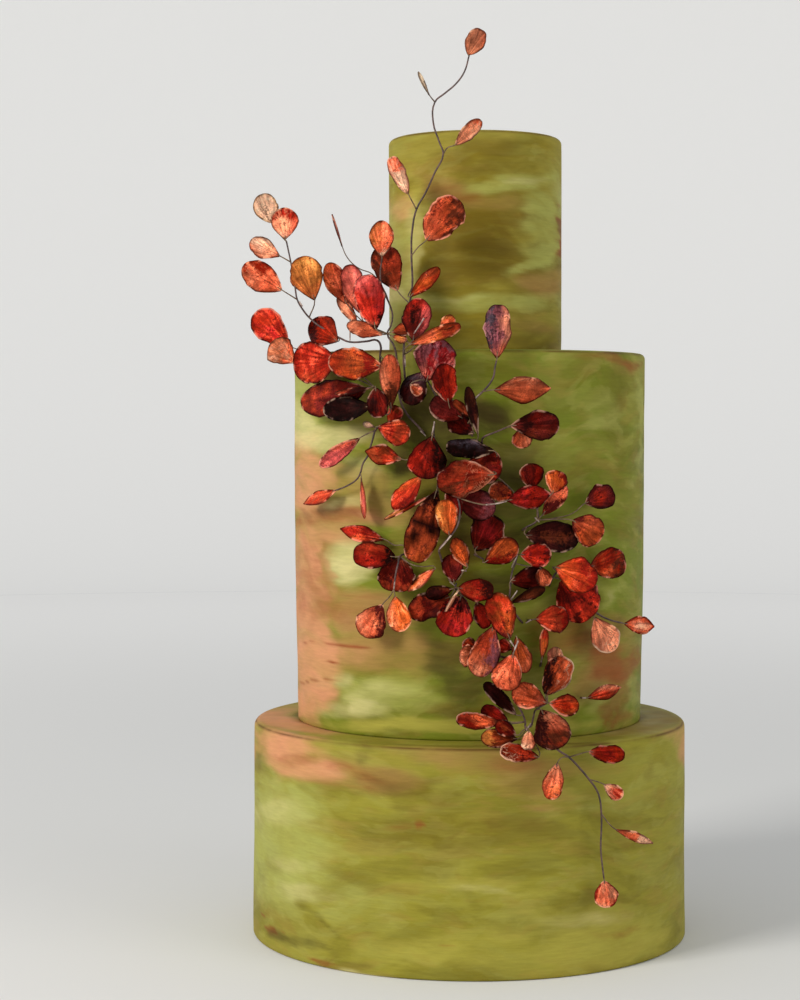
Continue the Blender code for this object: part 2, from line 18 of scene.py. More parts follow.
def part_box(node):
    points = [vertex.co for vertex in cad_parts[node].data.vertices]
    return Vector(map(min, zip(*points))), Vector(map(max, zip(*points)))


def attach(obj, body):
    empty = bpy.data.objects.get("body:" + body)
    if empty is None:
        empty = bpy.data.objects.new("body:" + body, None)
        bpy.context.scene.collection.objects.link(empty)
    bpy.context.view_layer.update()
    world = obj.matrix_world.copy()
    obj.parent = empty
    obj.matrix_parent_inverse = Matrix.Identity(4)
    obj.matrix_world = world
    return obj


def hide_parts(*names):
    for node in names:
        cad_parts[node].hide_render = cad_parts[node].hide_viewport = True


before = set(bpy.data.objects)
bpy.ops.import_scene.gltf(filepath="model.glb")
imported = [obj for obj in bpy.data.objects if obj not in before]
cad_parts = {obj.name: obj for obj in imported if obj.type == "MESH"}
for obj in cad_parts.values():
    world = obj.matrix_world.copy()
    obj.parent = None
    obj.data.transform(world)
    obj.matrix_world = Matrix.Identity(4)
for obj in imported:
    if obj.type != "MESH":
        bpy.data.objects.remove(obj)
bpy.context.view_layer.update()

MM = 0.001

# %% [markdown]
# ## Where the eye stands
# The camera stands 1.28 m in front of the cake, a little above its middle. It looks a touch down
# and a touch to the left, so the cake sits right of the frame's centre. The same point is used
# further on to lay out paint and leaves as they are seen. A long lens keeps the tiers' sides
# upright.

# %% Set up the camera
VIEWPOINT = Vector((0.0, -1277.0, 297.5))        # millimetres
LENS = 78.2
LOOK_DOWN = 0.035                                # radians
LOOK_LEFT = 0.03178637

camera_data = bpy.data.cameras.new("camera")
camera_data.lens = LENS
camera_data.sensor_width = 36.0
camera_data.clip_start = 0.01
camera = bpy.data.objects.new("camera", camera_data)
camera.location = VIEWPOINT * MM
camera.rotation_euler = Euler((math.pi / 2 - LOOK_DOWN, 0.0, LOOK_LEFT))
bpy.context.scene.collection.objects.link(camera)
bpy.context.scene.camera = camera
bpy.context.scene.view_settings.view_transform = "Standard"
print("camera at", [round(value, 3) for value in camera.location])

# %% [markdown]
# ## Building materials from small steps
# A material here is a chain of nodes. To keep each recipe short, one helper adds a node and fills
# its sockets: a plain value is set on the socket, and another node's output is linked to it. The
# steps that come back in every finish get a short name each.

# %% Helpers that add nodes
def put(tree, kind, settings=(), **sockets):
    """Adds a node. Underscores in socket names stand for spaces, and a trailing number picks a
    socket by its place in the list."""
    made = tree.nodes.new(kind)
    for key, value in dict(settings).items():
        setattr(made, key, value)
    for key, value in sockets.items():
        socket = made.inputs[int(key[1:])] if key[0] == "n" and key[1:].isdigit() else None
        socket = socket or made.inputs[key.replace("_", " ")]
        if isinstance(value, bpy.types.NodeSocket):
            tree.links.new(value, socket)
        else:
            socket.default_value = value
    return made


def reckon(tree, what, *values):
    """One sum on numbers."""
    sockets = {f"n{place}": value for place, value in enumerate(values)}
    return put(tree, "ShaderNodeMath", {"operation": what}, **sockets).outputs[0]


def spread(tree, value, low, high, first=0.0, last=1.0):
    """A value's run from low to high, carried over to a run from first to last."""
    return put(tree, "ShaderNodeMapRange", n0=value, n1=low, n2=high, n3=first, n4=last).outputs[0]


def mottling(tree, place, scale, detail, roughness=0.5, distortion=0.0):
    """A cloudy pattern of values from 0 to 1."""
    return put(tree, "ShaderNodeTexNoise", Vector=place, Scale=scale, Detail=detail,
               Roughness=roughness, Distortion=distortion).outputs["Fac"]


def laid_over(tree, share, under, top):
    """One colour laid over another, by a share from 0 to 1."""
    return put(tree, "ShaderNodeMix", {"data_type": "RGBA"}, n0=share, n6=under, n7=top).outputs[2]


def scaled(tree, colour, share):
    """A colour made darker or lighter."""
    made = put(tree, "ShaderNodeVectorMath", {"operation": "SCALE"}, n0=colour, Scale=share)
    return made.outputs[0]


def stored(tree, name):
    """The outputs that read what is stored on the points under this name."""
    return put(tree, "ShaderNodeAttribute", {"attribute_name": name}).outputs


def raised(tree, height, strength, distance, **under):
    """Fine relief from a pattern, over the relief under it if there is any."""
    return put(tree, "ShaderNodeBump", Strength=strength, Distance=distance, Height=height,
               **under).outputs[0]


def new_material(name):
    """An empty material with its Principled shader, ready to be filled."""
    made = bpy.data.materials.new(name)
    made.use_nodes = True
    return made, made.node_tree, made.node_tree.nodes["Principled BSDF"]


def seen(red, green, blue):
    """A colour as an eye names it, 0 to 255, turned into the linear values that shaders use."""
    linear = []
    for value in (red, green, blue):
        value = value / 255
        linear.append(value / 12.92 if value <= 0.04045 else ((value + 0.055) / 1.055) ** 2.4)
    return (*linear, 1.0)


print("mid olive is", [round(value, 3) for value in seen(132, 126, 46)])

# %% [markdown]
# ## Turning shapes on an axis
# A tier, the floor and the studio wall are all round. Each starts as a line of points, its half
# section, and is spun once round the upright axis. The points that meet on the axis are then
# merged, and the faces are told to look outwards.

# %% A helper that turns a half section
SAME_POINT = 0.002 * MM                          # points nearer than this are one


def turned(name, outline, steps, shift=0.0):
    """Spins a half section, given as (radius, height) in millimetres, into a mesh object."""
    bm = bmesh.new()
    row = [bm.verts.new((radius * MM, 0.0, height * MM)) for radius, height in outline]
    edges = [bm.edges.new(pair) for pair in zip(row, row[1:])]
    bmesh.ops.spin(bm, geom=row + edges, cent=(0, 0, 0), axis=(0, 0, 1), angle=math.tau,
                   steps=steps, use_merge=True)
    bmesh.ops.remove_doubles(bm, verts=bm.verts, dist=SAME_POINT)
    bmesh.ops.recalc_face_normals(bm, faces=bm.faces)
    bmesh.ops.translate(bm, verts=bm.verts, vec=(shift * MM, 0, 0))
    for face in bm.faces:
        face.smooth = True
    mesh = bpy.data.meshes.new(name)
    bm.to_mesh(mesh)
    bm.free()
    made = bpy.data.objects.new(name, mesh)
    bpy.context.scene.collection.objects.link(made)
    return made


# %% [markdown]
# ## A plain, pale studio
# The floor runs out flat and then curves up into a wall all round, so that no horizon line shows
# behind the cake from any side. The wall is only there to be seen: light passes through it, so
# that the even light of the surroundings still reaches the cake.

# %% Make the floor and the wall
FLOOR_RADIUS = 2600.0
FLOOR_LEVEL = -0.2                               # a hair under the cake, so that the two don't meet
FLOOR_MIDDLE = 600.0                             # a ring that keeps the faces near the cake small
WALL_CURVE = 900.0
WALL_HEIGHT = 4000.0
CURVE_STEPS = 40
STUDIO_STEPS = 96                                # round the axis
BACKDROP_PAINT = seen(228, 227, 224)
BACKDROP_GLOW = 0.21                             # light of its own, so that it stays pale
GLOW_FROM, GLOW_FULL = 0.3, 2.4                  # metres out from the axis

wall_outline = [(FLOOR_RADIUS, 0.0)]
for step in range(1, CURVE_STEPS + 1):
    angle = math.radians(90 * step / CURVE_STEPS)
    wall_outline.append((FLOOR_RADIUS + WALL_CURVE * math.sin(angle),
                         WALL_CURVE * (1 - math.cos(angle))))
wall_outline.append((FLOOR_RADIUS + WALL_CURVE, WALL_HEIGHT))
floor_outline = [(radius, FLOOR_LEVEL) for radius in (0.0, FLOOR_MIDDLE, FLOOR_RADIUS)]
floor = turned("studio_floor", floor_outline, STUDIO_STEPS)
wall = turned("studio_wall", wall_outline, STUDIO_STEPS)

pale, tree, shader = new_material("studio_paint")
shader.inputs["Base Color"].default_value = BACKDROP_PAINT
shader.inputs["Roughness"].default_value = 0.9
shader.inputs["Specular IOR Level"].default_value = 0.1
outwards = put(tree, "ShaderNodeVectorMath", {"operation": "MULTIPLY"}, n1=(1.0, 1.0, 0.0),
               n0=put(tree, "ShaderNodeTexCoord").outputs["Object"]).outputs[0]
outwards = put(tree, "ShaderNodeVectorMath", {"operation": "LENGTH"}, n0=outwards).outputs["Value"]
glow = put(tree, "ShaderNodeMapRange", {"interpolation_type": "SMOOTHSTEP"}, n0=outwards,
           n1=GLOW_FROM, n2=GLOW_FULL, n3=0.0, n4=BACKDROP_GLOW).outputs[0]
tree.links.new(glow, shader.inputs["Emission Strength"])
shader.inputs["Emission Color"].default_value = (1.0, 0.985, 0.965, 1.0)
for surface in (floor, wall):
    surface.data.materials.append(pale)
wall.visible_shadow = False
wall.visible_diffuse = False
print("floor and wall reach", round((FLOOR_RADIUS + WALL_CURVE) * MM, 2), "m out")

# %% [markdown]
# ## Soft light from the left
# The real cake stands near a large window: the light is broad and comes from the left and front,
# so the tiers' left sides are brighter and the leaves throw soft shadows to the right and down.
# A large square lamp stands for the window, a weak one on the right lifts the shadows, and the
# pale surroundings do the rest.

# %% Hang the lights
def soft_light(name, place, target, size, watts, colour):
    """A square lamp that faces its target and isn't seen itself."""
    data = bpy.data.lights.new(name, "AREA")
    data.size = size
    data.energy = watts
    data.color = colour
    lamp = bpy.data.objects.new(name, data)
    lamp.location = place
    lamp.rotation_euler = (Vector(target) - Vector(place)).to_track_quat("-Z", "Y").to_euler()
    lamp.visible_camera = False
    bpy.context.scene.collection.objects.link(lamp)
    return lamp


CAKE_MIDDLE = (0.0, 0.0, 0.25)                   # metres
SURROUNDINGS = 0.52                              # strength of the even light
soft_light("window", (-1.7, -1.5, 1.3), CAKE_MIDDLE, 0.8, 43.0, (1.0, 0.985, 0.96))
soft_light("right_fill", (1.9, -1.3, 0.7), CAKE_MIDDLE, 1.4, 14.0, (0.97, 0.985, 1.0))

world = bpy.context.scene.world or bpy.data.worlds.new("surroundings")
bpy.context.scene.world = world
world.use_nodes = True
sky = world.node_tree.nodes["Background"]
sky.inputs["Color"].default_value = (0.96, 0.98, 1.0, 1.0)
sky.inputs["Strength"].default_value = SURROUNDINGS

# %% [markdown]
# ## The tiers' shape
# Each real tier is a stack of cake covered with a rolled sheet of sugar paste, smoothed by hand
# until its top edge is crisp but still rounded. A cylinder would do for the shape, but the paint
# needs many small faces to sit on, so the half section gets a point every two millimetres and
# is spun in several hundred steps. The middle tier narrows a little towards its foot.

# %% Draw a tier's half section
RIM_ROUND = 3.2
RIM_STEPS = 6
ROW = 2.0                                        # height of one row of faces
PLAIN_ROW = 25.0                                 # width of one where no paint is read


def rows(start, stop, spacing):
    """Evenly spaced values between two ends, both included."""
    count = max(1, round(abs(stop - start) / spacing))
    return [start + (stop - start) * step / count for step in range(count + 1)]


def tier_outline(foot, top, foot_radius, radius, straight_from, bare_radius):
    """Half section of a tier. Inside bare_radius its top is covered, so it has few rings."""
    outline = [(r, top) for r in rows(0.0, bare_radius, PLAIN_ROW)]
    outline += [(r, top) for r in rows(bare_radius, radius - RIM_ROUND, ROW)[1:]]
    for step in range(1, RIM_STEPS + 1):
        angle = math.radians(90 * step / RIM_STEPS)
        outline.append((radius - RIM_ROUND + RIM_ROUND * math.sin(angle),
                        top - RIM_ROUND + RIM_ROUND * math.cos(angle)))
    for height in rows(top - RIM_ROUND, foot + 1.0, ROW)[1:]:
        down = min(1.0, max(0.0, (straight_from - height) / (straight_from - foot + 0.01)))
        lean = 0.6 * down if down < 0.5 else 0.3 + 1.4 * (down - 0.5)
        outline.append((radius - (radius - foot_radius) * lean, height))
    outline += [(outline[-1][0] - 0.4, foot + 0.3), (outline[-1][0] - 1.0, foot)]
    outline += [(r, foot) for r in rows(foot_radius - 1.0, 0.0, PLAIN_ROW)[1:]]
    return outline


GAP = 0.05
TIERS = {
    "tier_bottom": dict(foot=0.0, top=125.0, foot_radius=127.0, radius=126.0, straight_from=125.0,
                        bare_radius=94.0, steps=400, shift=0.0),
    "tier_middle": dict(foot=125.0 + GAP, top=338.0, foot_radius=100.4, radius=102.3,
                        straight_from=245.0, bare_radius=44.0, steps=320, shift=0.0),
    "tier_top": dict(foot=338.0 + GAP, top=463.0, foot_radius=50.3, radius=50.3,
                     straight_from=338.2, bare_radius=6.0, steps=180, shift=3.4),
}
for name, facts in TIERS.items():
    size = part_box(name)
    print(name, "solid is", [round((high - low) / MM, 1) for low, high in zip(*size)], "mm")

# %% [markdown]
# ## Reading a tier like a flat sheet
# Paint marks are easiest to place on a flat drawing of the front as it is seen from the camera:
# x to the right, z up. Each point of the wall is carried onto that drawing along its line of
# sight. Past the edge of view the drawing runs on right round the back, but slowly, so that a mark
# at the edge tapers off round the side. On a tier's top it goes on inwards from the rim.
# The lumps and the stirring of the paint come from noise that starts from a fixed number, so that
# every run makes the same cake.

# %% Carry points onto the drawing
UNSEEN_RATE = 0.45                               # drawing millimetres for each one out of sight
NOISE_START = 2
noise.seed_set(NOISE_START)


def on_drawing(points, facts):
    """The drawing's x and z for points of a tier, and the drawing's full length round it."""
    reach = -VIEWPOINT.y
    radius, shift = facts["radius"], facts["shift"]
    x, y, z = points.T
    turn = np.arctan2(x - shift, -y)
    last_seen = math.acos(radius / reach)
    seen_turn = np.clip(turn, -last_seen, last_seen)
    wall_x = shift + radius * np.sin(seen_turn)
    across = wall_x * reach / (reach - radius * np.cos(seen_turn))
    across += (turn - seen_turn) * radius * UNSEEN_RATE
    depth = np.minimum(-radius * np.cos(turn), 0.0)
    up = VIEWPOINT.z + (z - VIEWPOINT.z) * reach / (reach + depth)
    inwards = np.clip(facts["radius"] - 1.0 - np.hypot(x - shift, y), 0.0, None)
    up = np.where(z > (facts["foot"] + facts["top"]) / 2, up + inwards, up - inwards)
    edge = radius * math.sin(last_seen) * reach / (reach - radius * math.cos(last_seen))
    return across, up, 2 * (edge + (math.pi - last_seen) * radius * UNSEEN_RATE)


def cloudy(points, size, seed):
    """A smooth random vector for each point, with lumps of about the given size in mm."""
    start = Vector((seed * 7.31, seed * 3.17, seed * 5.93))
    return np.array([noise.noise_vector(Vector(point) / size + start) for point in points])


# %% [markdown]
# ## The painter's palette
# The paint is edible colour thinned with spirit and brushed on in layers, wet into wet. Eight
# washes lie over an olive ground. The tables below list each wash's brush marks: the middle of the
# mark on the drawing, x and z, its half length and half height in millimetres, its tilt in degrees,
# and its strength. The darkest, smoky wash is also painted shade: on the middle tier most of its
# marks, and part of the olive there, stand for the shadows that the leaves and wires throw on the
# wall.

# %% Mix the washes
WASHES = ("olive", "straw", "green", "pale", "tan", "peach", "rust", "smoke_and_painted_shade")
WASH_COLOUR = {
    "olive": seen(98, 76, 12), "straw": seen(168, 158, 66), "green": seen(162, 162, 82),
    "pale": seen(206, 194, 132), "tan": seen(158, 122, 66), "peach": seen(214, 145, 106),
    "rust": seen(136, 62, 30), "smoke_and_painted_shade": seen(60, 46, 18),
}
GROUND = {"tier_bottom": seen(142, 134, 46), "tier_middle": seen(114, 121, 32),
          "tier_top": seen(136, 120, 36)}

# %% Brush marks on the bottom tier
MARKS = {}
MARKS["tier_bottom"] = {
    "peach": [
        (-108, 107, 22, 14, 0, 0.9), (-95, 94, 22, 9, -8, 0.75), (44, 71, 12, 4, 0, 0.3),
        (-122, 134, 36, 15, 0, 0.85),
    ],
    "tan": [
        (-62, 90, 34, 9, -9, 0.8), (6, 99, 62, 9, -6, 0.8), (34, 84, 30, 10, -14, 0.6),
        (-84, 62, 22, 5, 0, 0.5), (43, 51, 9, 3, 0, 0.4), (118, 136, 34, 16, 0, 0.6),
    ],
    "rust": [
        (-66, 92, 26, 3.5, -14, 0.45), (30, 96, 20, 6, 0, 0.4), (-88, 97, 28, 5, -8, 0.5),
        (-78, 84, 32, 2, -4, 0.35), (-30, 61, 4, 2.4, -10, 0.95), (-44, 60, 14, 2.4, 4, 0.5),
        (-121, 5, 3, 1.2, -20, 0.8), (-115, -4, 5, 1.5, -30, 0.7), (-104, -4.5, 6, 1.2, -25, 0.6),
        (-86, -20, 14, 1.6, -14, 0.7), (-10, -10, 8, 1.3, -5, 0.65), (87, -2.5, 11, 3, 12, 0.4),
        (-104, 146, 46, 4, 0, 0.45), (0, 151, 400, 2, 0, 0.7), (60, 128, 60, 2.5, 0, 0.3),
    ],
    "olive": [
        (-50, 86, 20, 9, -10, 0.65), (-34, 80, 16, 9, -4, 0.65), (-14, 77, 14, 8, 0, 0.5),
        (-36, 73, 11, 4, 0, 0.5), (0, 56, 72, 15, 0, 0.6), (-60, 28, 34, 5, -12, 0.4),
        (67, 58, 3, 9, 8, 0.45), (96, 50, 16, 5, 0, 0.4), (109, 94, 3, 10, -20, 0.4),
        (86, 17, 32, 5, -4, 0.45), (59, 17, 8, 9, 0, 0.4), (84, -3, 20, 5, 12, 0.55),
        (20, 112, 84, 5, 0, 0.6), (0, 150, 400, 5, 0, 0.8),
    ],
    "smoke_and_painted_shade": [
        (-48, 84, 26, 7, -12, 0.3), (-14, 84, 20, 7, 0, 0.2), (-61, 104, 7, 8, 20, 0.4),
        (-50, 92, 14, 3, -30, 0.25), (-117, 36, 8, 12, 0, 0.3), (100, 27, 10, 8, 0, 0.2),
        (-98, -9, 24, 4, -12, 0.7), (-68, -20, 20, 3, -8, 0.45), (-87, 4, 23, 1.7, -31, 0.45),
        (116, 132, 20, 6, 0, 0.2),
    ],
    "pale": [
        (-83, 91, 12, 1, -6, 0.5), (-112, 68, 16, 10, 0, 0.35), (-98, 36, 20, 6, -12, 0.5),
        (-92, 18, 26, 6, -14, 0.45), (12, 22, 26, 2.2, -5, 0.4), (62, 5, 26, 6, 2, 0.4),
        (-60, -27, 22, 1.3, -7, 0.8), (112, 140, 30, 8, 0, 0.5),
    ],
    "green": [
        (-110, 50, 26, 44, 0, 0.95), (-84, 20, 36, 16, -10, 0.55), (-70, 40, 40, 22, -8, 0.2),
        (84, 76, 30, 12, 10, 0.35), (-88, 12, 30, 7, -24, 0.5),
    ],
    "straw": [
        (15, 24, 46, 5, -4, 0.6), (78, -10, 44, 14, 12, 0.85), (58, 8, 30, 9, 2, 0.5),
        (-4, -14, 60, 12, 0, 0.65), (-20, 133, 200, 8, 0, 0.3),
    ],
}

# %% Brush marks on the middle tier
MARKS["tier_middle"] = {
    "green": [
        (-95, 311, 18, 27, 0, 0.85), (-52, 320, 36, 20, 0, 0.45), (-52, 136, 32, 12, 4, 0.7),
        (79, 303, 15, 13, 20, 0.5), (50, 280, 34, 10, 12, 0.3), (83, 199, 6, 9, 0, 0.6),
        (99, 298, 4, 40, 0, 0.6), (74, 139, 6, 14, 0, 0.8), (98, 140, 4, 14, 0, 0.5),
        (46, 137, 20, 14, 0, 0.45), (60, 352, 70, 18, 0, 0.5),
    ],
    "pale": [
        (-97, 296, 12, 15, 0, 0.7), (-86, 290, 26, 8, -5, 0.85), (-66, 273, 13, 10, 0, 0.5),
        (-69, 216, 14, 15, 0, 0.9), (-76, 250, 15, 5, 12, 0.75), (-66, 198, 14, 4, 6, 0.5),
        (-78, 146, 12, 6, 0, 0.6), (-58, 137, 20, 7, 6, 0.4), (-64, 129, 8, 5, 0, 0.9),
        (-72, 127, 24, 5, 0, 0.5), (84, 200, 3, 5, 0, 0.4),
    ],
    "tan": [
        (-64, 262, 20, 15, 0, 0.6), (-62, 254, 20, 7, 0, 0.6), (-82, 220, 8, 16, 0, 0.7),
        (-66, 190, 36, 14, 0, 1.0), (-60, 163, 30, 15, 0, 0.95), (-34, 164, 20, 14, 0, 0.8),
        (-44, 186, 18, 14, 0, 0.8), (-50, 246, 20, 9, 0, 0.7), (-32, 163, 36, 10, 0, 0.45),
        (74, 331, 28, 6, 0, 0.45), (74, 158, 28, 26, 0, 0.75), (76, 178, 30, 12, 0, 0.6),
        (84, 126, 14, 9, 0, 0.5),
    ],
    "peach": [
        (-97, 266, 16, 26, 0, 0.8), (-97, 190, 14, 84, 0, 0.75), (-95, 212, 12, 42, 0, 0.8),
        (-70, 242, 26, 7, 2, 0.6), (-78, 234, 22, 8, 0, 0.6), (-72, 182, 18, 8, -6, 0.5),
        (-92, 161, 17, 19, 0, 0.95), (-70, 163, 20, 8, -4, 0.5), (-94, 135, 13, 15, 0, 0.85),
        (-83, 208, 6, 16, 0, 0.5), (-70, 348, 60, 14, 0, 0.4),
    ],
    "rust": [
        (-84, 243, 34, 6, 2, 0.6), (-94, 205, 12, 30, 4, 0.5), (-82, 212, 4, 18, 4, 0.4),
        (-74, 186, 26, 8, -8, 0.35), (-62, 197, 26, 1.8, -4, 0.35), (-79, 168.5, 24, 1.1, -3, 0.85),
        (-72, 155.5, 17, 1.1, -9, 0.95), (-91, 146, 13, 1.0, -6, 0.6), (82, 334, 26, 3.2, -6, 0.65),
        (81, 157, 17, 17, 0, 0.85), (86, 140, 12, 26, 4, 0.6), (54, 174, 22, 14, 0, 0.6),
        (79, 126, 3, 9, 3, 0.7), (87, 127, 3, 12, -3, 0.7), (96, 205, 4, 14, 0, 0.3),
    ],
    # Most of these darkest marks are painted shade: the shadows that the leaves and wires throw on
    # the wall round and under the heart of the spray. The three faint ones on the left are smoky
    # paint.
    "smoke_and_painted_shade": [
        (-76, 244, 30, 4, 2, 0.35), (-70, 240, 20, 3, 4, 0.2), (-76, 184, 10, 8, 30, 0.25),
        (-10, 127, 18, 5, 0, 0.5), (24, 262, 28, 26, -30, 0.9), (-26, 300, 13, 20, 10, 0.95),
        (8, 300, 24, 9, -8, 0.8), (-38, 276, 9, 12, 0, 0.8), (-46, 262, 9, 16, 0, 0.5),
        (10, 304, 20, 9, 0, 0.95), (-14, 294, 16, 10, 0, 0.95), (-12, 150, 12, 18, 0, 0.8),
        (28, 127, 8, 6, 0, 0.7), (-12, 278, 10, 12, 0, 0.9), (46, 226, 14, 12, -16, 0.6),
        (0, 236, 24, 22, 0, 0.8), (34, 236, 30, 16, 0, 0.7), (24, 203, 24, 11, 0, 0.7),
        (-2, 146, 16, 22, 0, 0.75), (20, 160, 18, 12, 0, 0.5), (64, 190, 18, 10, 0, 0.5),
        (76, 176, 14, 6, 0, 0.3), (58, 176, 20, 12, 0, 0.4), (84, 130, 13, 12, 0, 0.35),
    ],
    # The broad olive mark at x -8, z 236, behind the heart of the spray, is mostly painted shade:
    # the leaves' shadows on the wall, laid over olive paint.
    "olive": [
        (-28, 160, 40, 14, 0, 0.6), (8, 126, 30, 4.5, 2, 0.85), (-20, 129, 20, 5, 0, 0.6),
        (-8, 236, 34, 50, 0, 0.8), (12, 170, 30, 24, 0, 0.4), (50, 272, 24, 16, 0, 0.5),
        (82, 290, 20, 40, 0, 0.35), (70, 268, 30, 5, -12, 0.45), (92, 240, 14, 8, 0, 0.4),
    ],
    "straw": [(-20, 118, 66, 4.2, 0, 0.9), (48, 118, 32, 4, 4, 0.7)],
}

# %% Brush marks on the top tier
MARKS["tier_top"] = {
    "green": [
        (-42, 385, 13, 46, 0, 0.8), (22, 439, 30, 6, 8, 0.85), (42, 414, 11, 34, 0, 0.75),
        (34, 391, 17, 3.5, 16, 0.85), (8, 369, 52, 6, 0, 0.8), (-10, 356, 20, 4, 0, 0.4),
    ],
    "tan": [
        (-42, 392, 10, 30, 0, 0.5), (-16, 437, 16, 10, 0, 0.65), (15, 427, 24, 6, 0, 0.55),
        (43, 379, 18, 9, 0, 0.7), (30, 357, 24, 4, -6, 0.4),
    ],
    "pale": [
        (-41, 372, 10, 5, 0, 0.6), (-28, 454, 9, 3, 0, 0.2), (33, 441, 12, 2, 12, 0.35),
        (-6, 371, 20, 2, 0, 0.4), (-30, 402, 6, 30, 0, 0.5),
    ],
    "peach": [(-38, 424, 9, 8, 0, 0.5)],
    "olive": [
        (2, 451, 34, 9, 0, 0.55), (5, 404, 33, 31, 0, 0.9), (36, 419, 9, 4, 0, 0.8),
        (40, 401, 7, 7, 0, 0.8), (42, 388, 20, 6, 14, 0.75), (16, 352, 52, 9, 0, 0.5),
        (12, 460, 16, 6, 0, 0.65), (38, 378, 14, 5, 0, 0.7),
    ],
    # The narrow upright marks at x 53, in this wash and in the darkest one below, lie along the
    # tier's right edge and darken it.
    "rust": [
        (42, 377, 14, 7, 0, 0.2), (-8, 434, 18, 7, 0, 0.45), (53, 421, 3, 14, 0, 0.9),
        (53, 402, 3.5, 9, 0, 0.85), (20, 474, 30, 4, 0, 0.3),
    ],
    "smoke_and_painted_shade": [(42, 345, 15, 3.5, 8, 0.4), (53, 411, 3, 22, 0, 0.4)],
    "straw": [(-31, 408, 8, 36, 0, 0.7), (0, 480, 90, 20, 0, 0.4)],
}
print("brush marks:", {name: sum(map(len, marks.values())) for name, marks in MARKS.items()})

# %% [markdown]
# ## Laying the paint on
# A mark is a soft-edged oblong. Before the marks are read, the drawing is stirred a little, so
# that no edge stays straight. The back isn't seen here, so it gets marks of the same kind,
# drawn with a fixed seed. Only each wash's strength is stored on the points. The material does
# the fine feathering.

# %% Read the brush marks at every point
BACK_MARKS = 34                                  # for each 100 mm of radius
BACK_WASHES = ("olive", "olive", "straw", "green", "green", "pale", "tan", "tan", "peach", "rust")
BACK_LENGTH, BACK_HEIGHT = (12, 46), (4, 16)     # half of each
BACK_TILT, BACK_STRENGTH = (-16, 16), (0.3, 0.9)
BACK_ACCENT = 0.35                               # size of a rust or pale mark against the others
MARK_REACH = 1.45                                # where a mark ends, in half lengths of its own
MARK_SQUARENESS = 2.2                            # 2 would be an oval


def back_marks(name, facts, half_length):
    """Seeded marks for the part of the wall that the drawing doesn't show."""
    draw = random.Random(name + " back")
    made = []
    for _ in range(round(BACK_MARKS * facts["radius"] / 100)):
        side = draw.choice((-1, 1))
        wash = draw.choice(BACK_WASHES)
        small = BACK_ACCENT if wash in ("rust", "pale") else 1.0
        made.append((wash, side * draw.uniform(facts["radius"] + 8, half_length),
                     draw.uniform(facts["foot"], facts["top"] + 20),
                     draw.uniform(*BACK_LENGTH) * small * UNSEEN_RATE,
                     draw.uniform(*BACK_HEIGHT) * small,
                     draw.uniform(*BACK_TILT), draw.uniform(*BACK_STRENGTH)))
    return made


def brushed(across, up, length, marks):
    """Strength of each wash at each point: the strongest mark that covers it."""
    strength = {wash: np.zeros(len(across)) for wash in WASHES}
    for wash, x, z, half_x, half_z, tilt, most in marks:
        right = (across - x + length / 2) % length - length / 2
        above = up - z
        lean = math.radians(tilt)
        along = np.abs(right * math.cos(lean) + above * math.sin(lean)) / half_x
        over = np.abs(above * math.cos(lean) - right * math.sin(lean)) / half_z
        away = (along ** MARK_SQUARENESS + over ** MARK_SQUARENESS) ** (1 / MARK_SQUARENESS)
        touch = np.clip(MARK_REACH - away, 0.0, 1.0)
        strength[wash] = np.maximum(strength[wash], most * touch * touch * (3 - 2 * touch))
    return strength


def store(mesh, name, red, green, blue, alpha):
    """Keeps four numbers on every point of a mesh as one colour attribute."""
    layer = mesh.color_attributes.new(name, "FLOAT_COLOR", "POINT")
    layer.data.foreach_set("color", np.stack([red, green, blue, alpha], axis=1).astype("f").ravel())


# %% [markdown]
# ## Painted sugar paste
# Sugar paste is matt with a faint silk sheen. The ground itself is many thin strokes, one over
# another, each a little lighter, browner or greener. A stroke here is a patch where noise passes a
# level, with the noise squeezed upright so that its patches lie round the tier, and swayed so
# that they rise and fall as a hand does. The washes go over that in the same broken strokes, never
# quite covering. Fine hair lines from the brush and a thin brown line along the rim come last.

# %% Make the painted finish
GROUND_STROKES = (                               # channel, a stroke's start and full, tint, cover
    (0, 0.48, 0.60, seen(106, 94, 26), 0.36), (1, 0.49, 0.60, seen(160, 152, 70), 0.34),
    (3, 0.52, 0.59, seen(150, 148, 68), 0.22), (4, 0.52, 0.62, seen(154, 122, 58), 0.24),
    (2, 0.54, 0.60, seen(98, 86, 24), 0.26), (5, 0.55, 0.60, seen(166, 160, 80), 0.20),
)
BROAD_STROKES = dict(squeeze=3.2, scale=17.0, shift=(0.0, 0.0, 0.0))
NARROW_STROKES = dict(squeeze=2.8, scale=40.0, shift=(1.7, 0.4, 2.3))
HAND_SWAY = (0.02, 0.02, 0.055)                  # metres that a stroke rises, falls and wanders
WASH_BREAK = 2.1                                 # how much the strokes break a wash up
WASH_FROM, WASH_FULL = 1.08, 1.74
RIM_BROWN = seen(84, 52, 22)


def stroke_channels(tree, place, squeeze, scale, shift):
    """Three patterns of brush-stroke patches that have nothing to do with each other."""
    pressed = put(tree, "ShaderNodeMapping", Vector=place, Location=shift,
                  Scale=(1.0, 1.0, squeeze)).outputs[0]
    drawn = put(tree, "ShaderNodeTexNoise", Vector=pressed, Scale=scale, Detail=4.0, Roughness=0.5,
                Distortion=0.3).outputs["Color"]
    return list(put(tree, "ShaderNodeSeparateColor", Color=drawn).outputs)


